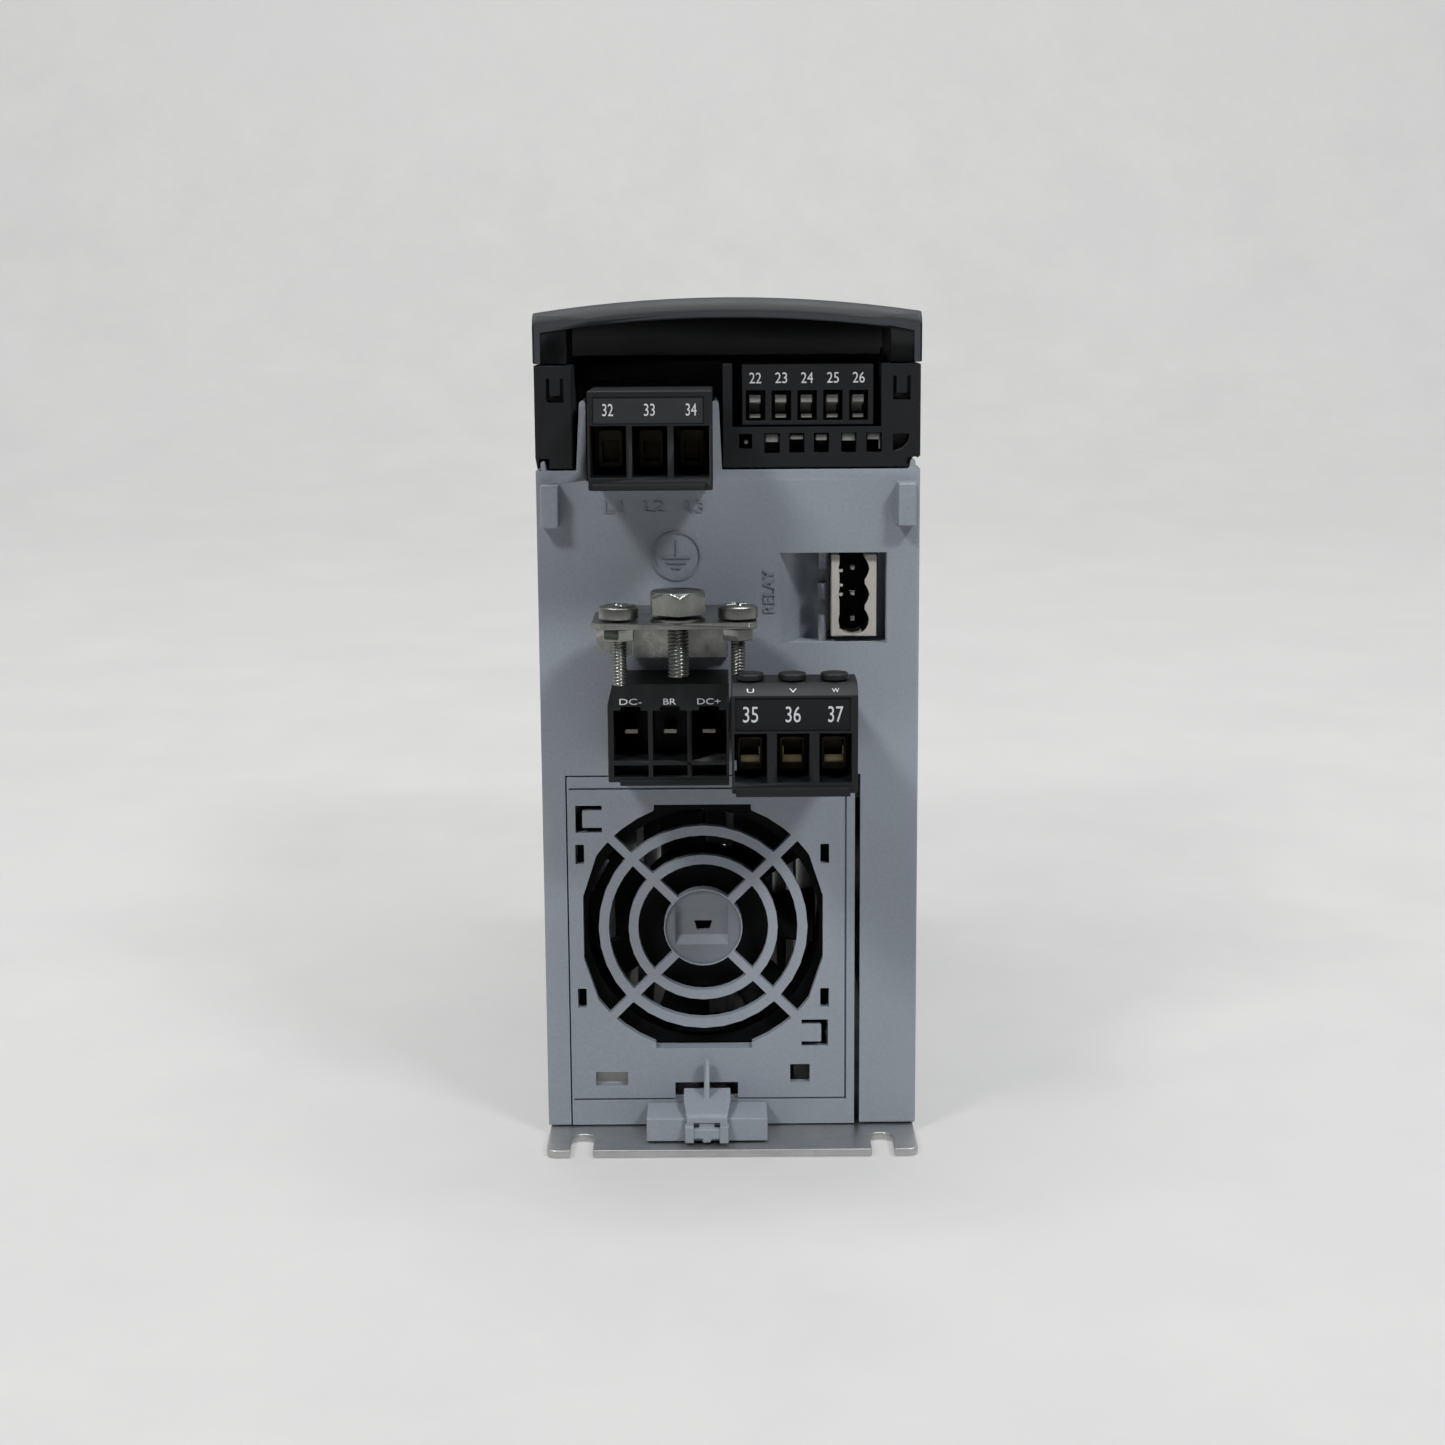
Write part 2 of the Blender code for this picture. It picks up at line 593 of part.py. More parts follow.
# Plugs and headers.
def make_mains_plug():
    front = MAINS_FRONT
    back = FACE + 1.2
    shapes = [box(-26.0, -2.9, front, FACE - GAP, 132.8, 151.1)]
    shapes.append(box(-25.5, -5.1, FACE - 1, back, 134.9, 148.9))
    shapes.append(box(-25.2, -4.3, front - 0.5, front + 2, 132.8, 134.1))
    cuts = [box(-25.1, -4.45, front - 1, front + 0.4, 145.0, 150.1)]
    for i in range(3):
        x = -22.2 + i * PITCH
        cuts.append(box(x - 3.3, x + 3.3, front - 1, front + 14, 135.2, 144.7))
        cuts.append(box(x - 1.5, x + 1.5, front + 13, back + 1, 139, 141.4))
    part("mains_plug", black_plastic(), shapes, cuts)
    for i in range(3):
        x = -22.2 + i * PITCH
        jaw = rounded(x - 2.2, x + 2.2, 136.6, 143.4, 0.6, 2)
        part("mains_clamp_%d" % (i + 1), brass(), [prism(jaw, "Y", front + 9.7, front + 13.6)],
             [box(x - 1.5, x + 1.5, front + 9, front + 12.4, 137.6, 141.4)])


def make_mains_header():
    y0 = FACE + 1.4
    y1 = FACE + 17
    shapes = [box(-26.9, -3.7, y0, y1, 133.3, 150.4)]
    cuts = [box(-25.8, -4.8, y0 - 1, y1 - 3, 134.6, 149.2)]
    header = part("mains_header", black_plastic(), shapes, cuts)
    pins = [box(-22.7 + i * PITCH, -21.7 + i * PITCH, y0 + 0.6, y1 - 2, 139.7, 140.7) for i in range(3)]
    boolean(header, mesh_object("mains_header.pins", pins, (0, 0, 0)), "UNION")


def make_dc_plug():
    front = DC_FRONT
    outline = [(-23.25, 76.9), (-0.15, 76.9), (-0.15, 95.8), (-22.3, 95.8), (-23.25, 91.8)]
    shapes = [prism(outline, "Y", front, FACE - GAP), box(-21.0, -0.15, front - 0.4, front + 2, 76.2, 77.4)]
    shapes.append(box(-22.2, -1.1, FACE - 1, FACE + 0.6, 77.6, 94.2))
    cuts = []
    for i in range(3):
        x = -18.85 + i * 7.45
        cuts.append(box(x - 3.3, x + 3.3, front - 1, front + 12, 81.1, 90.8))
        cuts.append(box(x - 1.9, x + 1.9, front - 1, front + 4, 88, 91.6))
        cuts.append(box(x - 3.3, x + 3.3, front - 1, front + 5, 77.9, 80.2))
    part("dc_plug", black_plastic(), shapes, cuts)
    for i in range(3):
        x = -18.85 + i * 7.45
        blade = box(x - 1.3, x + 1.3, front + 3.0, front + 11.7, 85.8, 86.6)
        part("dc_blade_%d" % (i + 1), zinc_steel(), [blade])


def make_dc_header():
    y0 = FACE + 0.9
    part("dc_header", black_plastic(), [box(-22.3, -1.0, y0, y0 + 14, 77.5, 94.3)])


def make_motor_plug():
    front = MOTOR_FRONT
    back = FACE + 0.6
    block = front + 12
    side = [(front, 78.2), (block, 78.2), (block, 98.4), (front + 2.6, 98.4), (front, 96.4)]
    shapes = [prism(side, "X", 0.3, 23.4), box(1.3, 22.8, block - 1, back, 78.4, 92.0)]
    shapes.append(box(1.0, 22.0, front - 0.5, front + 2, 77.6, 79.4))
    cuts = [box(0.9, 22.1, front - 1, front + 0.4, 89.8, 96.0)]
    for i in range(3):
        x = 3.75 + i * 7.78
        cuts.append(box(x - 3.0, x + 3.0, front - 1, front + 12, 80.2, 89.4))
        cuts.append(cylinder(x, front + 5.2, 2.0, "Z", 88, 100, 16))
    part("motor_plug", black_plastic(), shapes, cuts)
    for i in range(3):
        x = 3.75 + i * 7.78
        cage = rounded(x - 2.2, x + 2.2, 81.3, 87.4, 0.5, 2)
        bore = box(x - 1.9, x + 1.9, front + 6, front + 11.0, 83.6, 86.9)
        part("motor_clamp_%d" % (i + 1), brass(), [prism(cage, "Y", front + 7.6, front + 11.7)], [bore])
        centre = (x, front + 5.2, 98.6)
        profile = [(1.6, 88.6), (1.6, 98.3), (1.7, 98.7), (2.65, 98.7), (2.65, 99.6), (2.4, 99.9)]
        part("motor_screw_%d" % (i + 1), black_plastic(), [turned(x, front + 5.2, "Z", profile, 20)],
             [box(x - 3, x + 3, front + 4.8, front + 5.6, 99.3, 101)], centre)


def make_motor_header():
    y0 = FACE + 0.9
    part("motor_header", black_plastic(), [box(1.4, 22.8, y0, y0 + 14, 77.7, 92.3)])


def make_relay_header():
    y0 = FACE + 1.6
    y1 = FACE + 11
    shapes = [box(20.2, 29.1, y0, y1, 101.9, 118.1)]
    cuts = [box(21.8, 26.8, y0 - 1, y1 - 2, 103.4, 119)]
    for i in range(3):
        z = 115.3 - i * RELAY_PITCH
        cuts.append(cylinder(24.6, z, 3.0, "Y", y0 - 1, y1 - 2, 20))
    header = part("relay_header", beige_plastic(), shapes, cuts)
    teeth = [box(21.0, 22.5, y0 + 0.4, y1 - 1, z - 0.3, z + 0.3) for z in (114.9, 112.0, 110.2)]
    boolean(header, mesh_object("relay_header.teeth", teeth, (0, 0, 0)), "UNION")
    for i in range(3):
        z = 115.3 - i * RELAY_PITCH
        part("relay_pin_%d" % (i + 1), zinc_steel(), [box(24.0, 25.0, y0 + 2.5, y1 - 2.3, z - 0.5, z + 0.5)])


def make_control_terminals():
    y0 = FACE + 0.5
    y1 = FACE + 14
    shapes = [box(2.8, 28.2, y0, y1, 143.5, 155.1)]
    cuts = []
    for i in range(5):
        x = 5.4 + i * CONTROL_PITCH
        cuts.append(box(x - 1.85, x + 1.85, y0 - 1, y0 + 8, 144.4, 150.2))
    part("control_terminals", black_plastic(), shapes, cuts)
    for i in range(5):
        x = 5.3 + i * CONTROL_PITCH
        leaf = [(y0 + 0.9, 147.9), (y0 + 2.2, 149.5), (y0 + 7, 149.5), (y0 + 7, 144.9), (y0 + 1.2, 144.9)]
        leaf += [(y0 + 1.2, 145.6), (y0 + 6.2, 145.6), (y0 + 6.2, 148.8)]
        leaf += [(y0 + 2.6, 148.8), (y0 + 1.3, 147.4)]
        part("control_clamp_%d" % (i + 1), zinc_steel(), [prism(leaf, "X", x - 1.1, x + 1.1)])


# Protective earth connection.
def make_pe_bracket():
    front = FACE - 27
    z0 = 107.4
    z1 = 108.6
    outline = [(-25.7, front + 1.5), (-24.2, front), (3.8, front), (5.2, front + 1.5), (5.2, FACE - 9)]
    outline += [(0.6, FACE - 5), (0.6, FACE - 0.4), (-19.4, FACE - 0.4), (-19.4, FACE - 5)]
    outline.append((-25.7, FACE - 9))
    shapes = [prism(outline, "Z", z0, z1), box(-18.7, -0.2, FACE - 1.6, FACE - 0.4, 98.4, z0 + 0.5)]
    tab = [(-18.7, z0 + 0.4), (-25.4, z0 + 0.4)] + arc(-22.2, 104.0, 3.2, 180, 270, 5) + [(-18.7, 100.8)]
    shapes.append(prism(tab, "Y", front + 12.6, front + 13.8))
    cuts = []
    for x, r in ((-20.7, 1.8), (-9.6, 2.4), (1.6, 1.8)):
        cuts.append(cylinder(x, PE_Y, r, "Z", z0 - 1, z1 + 1, 20))
    part("pe_bracket", zinc_steel(), shapes, cuts)


def make_pe_bolt():
    x = -9.6
    head = [(4.2, 109.9), (5.6, 110.5), (5.6, 113.3), (4.6, 114.1)]
    rings = []
    for r, z in head:
        rings.append([(u, v, z) for u, v in circle(x, PE_Y, r, 6, 35)])
    shapes = [loft(rings)]
    shapes.append(cylinder(x, PE_Y, 2.0, "Z", 97.9, 110.5, 20))
    shapes.append(cylinder(x, PE_Y, 3.1, "Z", 109.6, 110.2, 20))
    part("pe_bolt", zinc_steel(), shapes, origin=(x, PE_Y, 108.0))
    washer = turned(x - 0.4, PE_Y, "Z", [(4.9, 108.9), (5.1, 109.1), (5.0, 109.3)], 28)
    part("pe_washer", zinc_steel(), [washer], [cylinder(x, PE_Y, 2.4, "Z", 108, 111, 20)])


def make_pe_screws():
    for name, x, low in (("pe_screw_left", -20.7, 96.3), ("pe_screw_right", 1.6, 97.7)):
        profile = [(1.35, low), (1.4, 108.4), (1.4, 108.9), (3.7, 108.9), (3.75, 111.0), (3.2, 111.5)]
        shapes = [turned(x, PE_Y, "Z", profile, 20)]
        cuts = [box(x - 4, x + 4, PE_Y - 0.5, PE_Y + 0.5, 110.3, 113)]
        part(name, zinc_steel(), shapes, cuts, (x, PE_Y, 108.0))
        nut = circle(x, PE_Y, 3.2, 6, 30)
        part(name.replace("screw", "nut"), zinc_steel(), [prism(nut, "Z", 104.9, 107.1)],
             [cylinder(x, PE_Y, 1.75, "Z", 104, 108, 16)])


# Electronics inside.
def make_power_board():
    part("power_board", circuit_board(), [box(-34, 34, FACE + 3, 78, 74.9, 76.5)])


def make_power_module():
    part("power_module", black_plastic(), [box(-22, 24, -38, 10, 70.3, 74.6)])


def make_capacitors():
    for i, x in enumerate((-17.5, 17.5)):
        profile = [(14.2, 76.8), (14.8, 77.6), (14.8, 119.4), (14.2, 120.4)]
        part("capacitor_%d" % (i + 1), capacitor_sleeve(), [turned(x, 48.0, "Z", profile, 24)])


def make_choke():
    x = 4.0
    y = -16.0
    core = cylinder(x, y, 17.0, "Z", 76.8, 93.0, 28)
    part("line_choke", copper(), [core], [cylinder(x, y, 7.0, "Z", 76, 94, 20)])


def make_control_board():
    part("control_board", circuit_board(), [box(-34, 34, FACE + 31, 80, 139.0, 140.6)])


def main():
    clear_scene()
    make_back_plate()
    make_heat_sink()
    make_main_housing()
    make_control_housing()
    make_front_cover()
    make_blind_cover()
    make_status_lens()
    make_fan_cover()
    make_latch_receiver()
    make_fan_frame()
    make_fan_rotor()
    make_fan_latch()
    make_mains_plug()
    make_mains_header()
    make_dc_plug()
    make_dc_header()
    make_motor_plug()
    make_motor_header()
    make_relay_header()
    make_control_terminals()
    make_pe_bracket()
    make_pe_bolt()
    make_pe_screws()
    make_power_board()
    make_power_module()
    make_capacitors()
    make_choke()
    make_control_board()


main()
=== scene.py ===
"""Looks of a compact variable frequency drive that lies on its back plate."""

import json
import math

import bmesh
import bpy
from mathutils import Matrix, Vector


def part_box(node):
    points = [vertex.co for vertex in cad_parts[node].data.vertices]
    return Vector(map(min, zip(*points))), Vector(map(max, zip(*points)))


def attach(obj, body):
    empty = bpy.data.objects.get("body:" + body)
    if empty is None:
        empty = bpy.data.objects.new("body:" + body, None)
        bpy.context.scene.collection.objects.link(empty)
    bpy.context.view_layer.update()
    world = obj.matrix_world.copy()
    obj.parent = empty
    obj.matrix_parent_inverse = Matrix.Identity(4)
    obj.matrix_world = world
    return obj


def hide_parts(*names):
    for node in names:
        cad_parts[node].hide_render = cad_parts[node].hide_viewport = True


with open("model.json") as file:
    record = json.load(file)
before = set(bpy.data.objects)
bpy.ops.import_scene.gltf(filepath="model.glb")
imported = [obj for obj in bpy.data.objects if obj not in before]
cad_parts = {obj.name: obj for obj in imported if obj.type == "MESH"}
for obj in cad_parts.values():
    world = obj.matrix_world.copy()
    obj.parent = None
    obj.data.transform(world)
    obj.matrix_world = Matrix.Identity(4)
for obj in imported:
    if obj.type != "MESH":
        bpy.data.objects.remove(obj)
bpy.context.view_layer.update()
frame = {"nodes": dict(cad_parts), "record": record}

MM = 0.001
BODIES = frame["record"]["behaviour"]["bodies"]
BODY_OF = {node: body for body, nodes in BODIES.items() for node in nodes}
SLOT_OF = {entry["node"]: entry["material_slot"] for entry in frame["record"]["subparts"]}


# ---------------------------------------------------------------- places taken from the frame
def low(node):
    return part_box(node)[0]


def high(node):
    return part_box(node)[1]


def middle(node):
    return (low(node) + high(node)) / 2


EDGE_SEGMENTS = 2
FACE_Y = low("main_housing").y + 3.6 * MM
MAINS_LABEL_Y = low("mains_plug").y + 0.9 * MM
MOTOR_FRONT_Y = low("motor_plug").y + 0.5 * MM
DC_FRONT_Y = low("dc_plug").y + 0.4 * MM


# ---------------------------------------------------------------- materials
class Finish:
    """A material under construction: a Principled shader and the nodes that feed it."""

    def __init__(self, name):
        self.material = bpy.data.materials.new(name)
        self.material.use_nodes = True
        self.tree = self.material.node_tree
        self.shader = self.tree.nodes["Principled BSDF"]
        self.place = self.tree.nodes.new("ShaderNodeTexCoord").outputs["Object"]

    def set(self, **values):
        for name, value in values.items():
            self.shader.inputs[name.replace("_", " ")].default_value = value

    def link(self, source, target):
        self.tree.links.new(source, target)

    def node(self, kind, **values):
        made = self.tree.nodes.new(kind)
        for name, value in values.items():
            if name in made.inputs:
                made.inputs[name].default_value = value
            else:
                setattr(made, name, value)
        return made

    def stretched(self, x, y, z):
        mapping = self.node("ShaderNodeMapping")
        mapping.inputs["Scale"].default_value = (x, y, z)
        self.link(self.place, mapping.inputs["Vector"])
        return mapping.outputs["Vector"]

    def noise(self, scale, detail=3.0, rough=0.55, vector=None):
        made = self.node("ShaderNodeTexNoise", Scale=scale, Detail=detail, Roughness=rough)
        self.link(vector or self.place, made.inputs["Vector"])
        return made.outputs["Fac"]

    def ramp(self, source, low_in, high_in, low_out, high_out):
        made = self.node("ShaderNodeMapRange")
        made.inputs["From Min"].default_value = low_in
        made.inputs["From Max"].default_value = high_in
        made.inputs["To Min"].default_value = low_out
        made.inputs["To Max"].default_value = high_out
        self.link(source, made.inputs["Value"])
        return made.outputs["Result"]

    def mix(self, factor, first, second):
        made = self.node("ShaderNodeMix", data_type="RGBA")
        self.link(factor, made.inputs["Factor"])
        for value, socket in ((first, made.inputs["A"]), (second, made.inputs["B"])):
            if isinstance(value, tuple):
                socket.default_value = (*value, 1.0)
            else:
                self.link(value, socket)
        return made.outputs["Result"]

    def colour(self, source):
        self.link(source, self.shader.inputs["Base Color"])

    def roughness(self, source):
        self.link(source, self.shader.inputs["Roughness"])

    def bump(self, source, strength, distance):
        made = self.node("ShaderNodeBump", Strength=strength, Distance=distance)
        self.link(source, made.inputs["Height"])
        last = self.shader.inputs["Normal"]
        if last.links:
            self.link(last.links[0].from_socket, made.inputs["Normal"])
        self.link(made.outputs["Normal"], last)

    def edges(self, radius):
        """How near a point is to an edge of the shape, from 0 to 1."""
        rounded = self.node("ShaderNodeBevel", Radius=radius)
        plain = self.node("ShaderNodeNewGeometry")
        dot = self.node("ShaderNodeVectorMath", operation="DOT_PRODUCT")
        self.link(rounded.outputs["Normal"], dot.inputs[0])
        self.link(plain.outputs["Normal"], dot.inputs[1])
        return self.ramp(dot.outputs["Value"], 1.0, 0.78, 0.0, 1.0)


def shade(colour, factor):
    return tuple(channel * factor for channel in colour)


def moulded(name, colour, rough, grain=0.5, edge_rub_and_highlight=0.35, gloss=0.5):
    """Moulded plastic: spark-eroded grain, faint flow marks, handling smudges, and paler edges that are
    partly rubbed and partly a painted highlight.
    """
    f = Finish(name)
    f.set(IOR=1.46, Specular_IOR_Level=gloss)
    flow = f.noise(26.0, 4.0, 0.6)
    specks = f.noise(1500.0, 2.0, 0.5)
    base = f.mix(f.ramp(flow, 0.3, 0.7, 0.0, 1.0), shade(colour, 0.93), shade(colour, 1.07))
    base = f.mix(f.ramp(specks, 0.35, 0.75, 0.0, 0.35), base, shade(colour, 1.28))
    # Paler edges: partly rubbed plastic, partly a painted highlight where the edges catch the light.
    edge_rub_and_highlight_mask = f.node("ShaderNodeMath", operation="MULTIPLY")
    f.link(f.edges(0.45 * MM), edge_rub_and_highlight_mask.inputs[0])
    f.link(f.ramp(f.noise(160.0, 4.0), 0.4, 0.7, 0.1, edge_rub_and_highlight), edge_rub_and_highlight_mask.inputs[1])
    pale = tuple(min(1.0, channel * 1.5 + 0.02) for channel in colour)
    base = f.mix(edge_rub_and_highlight_mask.outputs["Value"], base, pale)
    f.colour(base)
    f.roughness(f.ramp(f.noise(38.0, 5.0, 0.65), 0.3, 0.75, rough - 0.07, rough + 0.1))
    f.bump(f.noise(3800.0, 2.0, 0.5), grain, 0.035 * MM)
    f.bump(f.noise(120.0, 3.0, 0.5), 0.25, 0.05 * MM)
    return f.material


def metal(name, colour, rough, grain, brushed, stains):
    """Bare or plated metal: fine scratches along one way, cloudy staining and dulled patches."""
    f = Finish(name)
    f.set(Metallic=1.0)
    clouds = f.noise(90.0, 6.0, 0.68)
    blotch = f.noise(420.0, 4.0, 0.6)
    base = f.mix(f.ramp(clouds, 0.35, 0.7, 0.0, 1.0), shade(colour, 1.0 - stains), colour)
    base = f.mix(f.ramp(blotch, 0.55, 0.8, 0.0, stains), base, shade(colour, 0.55))
    f.colour(base)
    f.roughness(f.ramp(clouds, 0.3, 0.75, rough + 0.14, rough - 0.05))
    vector = f.stretched(*brushed) if brushed else f.place
    f.bump(f.noise(700.0, 4.0, 0.6, vector), grain, 0.03 * MM)
    f.bump(f.noise(60.0, 3.0), 0.2, 0.08 * MM)
    return f.material


def printed(name, colour):
    """Printed ink, slightly uneven."""
    f = Finish(name)
    f.colour(f.mix(f.ramp(f.noise(2200.0, 3.0), 0.3, 0.7, 0.0, 1.0), shade(colour, 0.82), colour))
    f.roughness(f.ramp(f.noise(600.0), 0.3, 0.7, 0.45, 0.62))
    f.bump(f.noise(3000.0), 0.3, 0.01 * MM)
    return f.material


def board(name):
    """Green solder mask over copper tracks."""
    f = Finish(name)
    tracks = f.node("ShaderNodeTexBrick", Scale=260.0)
    f.link(f.place, tracks.inputs["Vector"])
    tracks.inputs["Mortar Size"].default_value = 0.03
    tracks.inputs["Color1"].default_value = (0.012, 0.10, 0.045, 1)
    tracks.inputs["Color2"].default_value = (0.015, 0.13, 0.055, 1)
    tracks.inputs["Mortar"].default_value = (0.03, 0.2, 0.08, 1)
    cloudy = f.ramp(f.noise(300.0), 0.3, 0.7, 0.0, 0.4)
    f.colour(f.mix(cloudy, tracks.outputs["Color"], (0.01, 0.08, 0.035)))
    f.roughness(f.ramp(f.noise(200.0), 0.3, 0.7, 0.25, 0.4))
    f.bump(tracks.outputs["Fac"], 0.5, 0.05 * MM)
    return f.material


def sleeve(name, colour):
    """Shrink sleeve or lacquer, glossy with fine wrinkles."""
    f = Finish(name)
    f.set(Coat_Weight=0.3)
    f.colour(f.mix(f.ramp(f.noise(70.0), 0.3, 0.7, 0.0, 1.0), shade(colour, 0.8), shade(colour, 1.15)))
    f.roughness(f.ramp(f.noise(140.0), 0.3, 0.7, 0.22, 0.4))
    f.bump(f.noise(500.0, 3.0, 0.5, f.stretched(1.0, 1.0, 0.2)), 0.3, 0.08 * MM)
    return f.material


def windings(name, colour):
    """Lacquered copper wire wound side by side."""
    f = Finish(name)
    f.set(Metallic=1.0)
    turns = f.node("ShaderNodeTexWave", Scale=220.0, Distortion=0.6)
    f.link(f.place, turns.inputs["Vector"])
    f.colour(f.mix(turns.outputs["Fac"], shade(colour, 0.5), colour))
    f.roughness(f.ramp(f.noise(300.0), 0.3, 0.7, 0.25, 0.45))
    f.bump(turns.outputs["Fac"], 0.6, 0.3 * MM)
    return f.material


GREY = (0.243, 0.269, 0.308)
BLACK = (0.0062, 0.0070, 0.0082)
COVER = (0.025, 0.028, 0.029)

FINISHES = {
    "grey_plastic": moulded("grey_moulding", GREY, 0.52),
    "black_plastic": moulded("black_moulding", BLACK, 0.5, 0.35, 0.18, 0.34),
    "cover_plastic": moulded("cover_moulding", COVER, 0.5, 0.6, 0.4, 0.4),
    "beige_plastic": moulded("header_moulding", (0.40, 0.385, 0.35), 0.48, 0.3, 0.3),
    "bare_aluminium": metal("mill_finish", (0.60, 0.605, 0.60), 0.36, 0.5, (1.0, 0.06, 1.0), 0.22),
    "zinc_steel": metal("zinc_plating", (0.37, 0.38, 0.355), 0.26, 0.4, None, 0.55),
    "brass": metal("tinned_brass", (0.34, 0.28, 0.17), 0.42, 0.4, (1.0, 1.0, 0.1), 0.4),
    "circuit_board": board("solder_mask"),
    "capacitor_sleeve": sleeve("capacitor_sleeve", (0.02, 0.025, 0.05)),
    "copper": windings("copper_wire", (0.62, 0.3, 0.16)),
    "lens_plastic": sleeve("light_pipe", (0.26, 0.29, 0.27)),
}
# Painted shade: a black at half the body's, for the fan inside the housing and for the inside of the
# relay socket.
BLACK_WITH_PAINTED_SHADE = moulded("black_with_painted_shade", shade(BLACK, 0.5), 0.7, 0.3, 0.1, 0.12)
# Brass for the clamps deep in the bores, darkened partly by tarnish and partly by painted shade.
TARNISHED_SHADED_BRASS = metal("tarnished_brass_with_painted_shade", (0.060, 0.052, 0.036), 0.55, 0.4, None, 0.5)
DULL_TIN = metal("dull_tin", (0.23, 0.22, 0.20), 0.4, 0.4, None, 0.4)
# Painted fill light: a paler black for the deep wiring bay and the cover's inside, which the light
# hardly reaches.
BLACK_WITH_PAINTED_FILL_LIGHT = moulded("black_with_painted_fill_light", shade(BLACK, 4.5), 0.6, 0.4, 0.1)
# Painted shade: a darker copy of the grey for the set-back hub of the grille.
HUB_PAINTED_SHADE = moulded("hub_painted_shade", shade(GREY, 0.62), 0.55, 0.5, 0.3)
MARK_GREY = moulded("mark_moulding", shade(GREY, 0.84), 0.55, 0.4, 0.1)
TAG = moulded("tag_plastic", (0.78, 0.77, 0.72), 0.5, 0.3, 0.1)
INK = printed("white_ink", (0.62, 0.64, 0.67))


# ---------------------------------------------------------------- building blocks
def keep(piece, body, slot, *nodes):
    """Attaches a finished piece to its body and hides the CAD nodes it replaces."""
    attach(piece, body)
    if nodes:
        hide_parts(*nodes)
    return piece


def piece_from(name, bm, finish, sharp=32):
    bmesh.ops.recalc_face_normals(bm, faces=bm.faces)
    mesh = bpy.data.meshes.new(name)
    bm.to_mesh(mesh)
    bm.free()
    mesh.shade_smooth()
    mesh.set_sharp_from_angle(angle=math.radians(sharp))
    mesh.materials.append(finish)
    piece = bpy.data.objects.new(name, mesh)
    bpy.context.collection.objects.link(piece)
    return piece


def whole_faces(bm):
    """Joins the triangles of each flat face, and the doubled points between faces."""
    bmesh.ops.remove_doubles(bm, verts=bm.verts, dist=0.003 * MM)
    bmesh.ops.dissolve_limit(bm, angle_limit=math.radians(0.4), verts=bm.verts, edges=bm.edges)


def has_room(edge, width):
    """Whether an edge can be rounded without its neighbours being crossed."""
    room = 2.4 * width
    if edge.calc_length() < room:
        return False
    for vert in edge.verts:
        along = edge.other_vert(vert).co - vert.co
        for other in vert.link_edges:
            if other == edge:
                continue
            if other.calc_length() < room:
                return False
            flat = len(other.link_faces) == 2 and other.calc_face_angle(0.0) < math.radians(1.0)
            if flat and along.angle(other.other_vert(vert).co - vert.co, 0.0) < math.radians(30):
                return False
    return True


def damaged(bm):
    """Faces of some size that fold over themselves: centre, normal and reach of each."""
    drawn = {}
    for loops in bm.calc_loop_triangles():
        a, b, c = (loop.vert.co for loop in loops)
        face = loops[0].face
        drawn[face] = drawn.get(face, 0.0) + (b - a).cross(c - a).length / 2
    found = []
    for face, area in drawn.items():
        true = face.calc_area()
        if true > 0.2 * MM * MM and area > 1.02 * true:
            centre = face.calc_center_bounds()
            reach = max((vert.co - centre).length for vert in face.verts)
            found.append((centre, face.normal.copy(), reach))
    return found


def eased(mesh, width, segments, least=30.0, tries=60):
    """A copy of a mesh whose sharp edges are rounded wherever that leaves every face whole."""
    barred = set()
    for attempt in range(tries):
        bm = bmesh.new()
        bm.from_mesh(mesh)
        whole_faces(bm)
        chosen = {}
        for edge in bm.edges:
            if len(edge.link_faces) != 2 or edge.index in barred:
                continue
            if edge.calc_face_angle(0.0) >= math.radians(least) and has_room(edge, width):
                chosen[edge.index] = (edge, [vert.co.copy() for vert in edge.verts])
        if not chosen or attempt == tries - 1:
            return bm
        bmesh.ops.bevel(bm, geom=[edge for edge, _ in chosen.values()], offset=width, segments=segments,
                        profile=0.6, affect="EDGES", clamp_overlap=False, loop_slide=True)
        faults = damaged(bm)
        if not faults:
            return bm
        known = len(barred)
        for centre, normal, reach in faults:
            for index, (_, ends) in chosen.items():
                near = all((p - centre).length < reach + 2 * width for p in ends)
                if near and all(abs((p - centre).dot(normal)) < 0.6 * width for p in ends):
                    barred.add(index)
        if len(barred) == known:
            for centre, _, reach in faults:
                barred.update(index for index, (_, ends) in chosen.items()
                              if any((p - centre).length < reach + 2 * width for p in ends))
        bm.free()


def refine(node, width, finish=None):
    """A CAD node's shape with its sharp edges eased, by a width in mm, as a mould leaves them."""
    bm = eased(frame["nodes"][node].data, width * MM, EDGE_SEGMENTS)
    piece = piece_from(node + "_fine", bm, finish or FINISHES[SLOT_OF[node]], 40)
    weigh = piece.modifiers.new("weigh", "WEIGHTED_NORMAL")
    weigh.keep_sharp = True
    return keep(piece, BODY_OF[node], SLOT_OF[node], node)


def ring_grid(bm, rows, caps=True):
    """Joins rows of points into a tube, with flat ends."""
    made = [[bm.verts.new(point) for point in row] for row in rows]
    count = len(rows[0])
    for first, second in zip(made, made[1:]):
        for i in range(count):
            j = (i + 1) % count
            bm.faces.new((first[i], first[j], second[j], second[i]))
    if caps:
        bm.faces.new(made[0])
        bm.faces.new(list(reversed(made[-1])))


def turned_rows(centre, profile, count, radius_at=None, start=0.0):
    """Rows of points round a vertical axis. A profile entry is (radius, height above centre)."""
    rows = []
    for r, z in profile:
        row = []
        for i in range(count):
            angle = start + 2 * math.pi * i / count
            reach = radius_at(angle, r, z) if radius_at else r
            row.append(centre + Vector((math.cos(angle) * reach, math.sin(angle) * reach, z)))
        rows.append(row)
    return rows


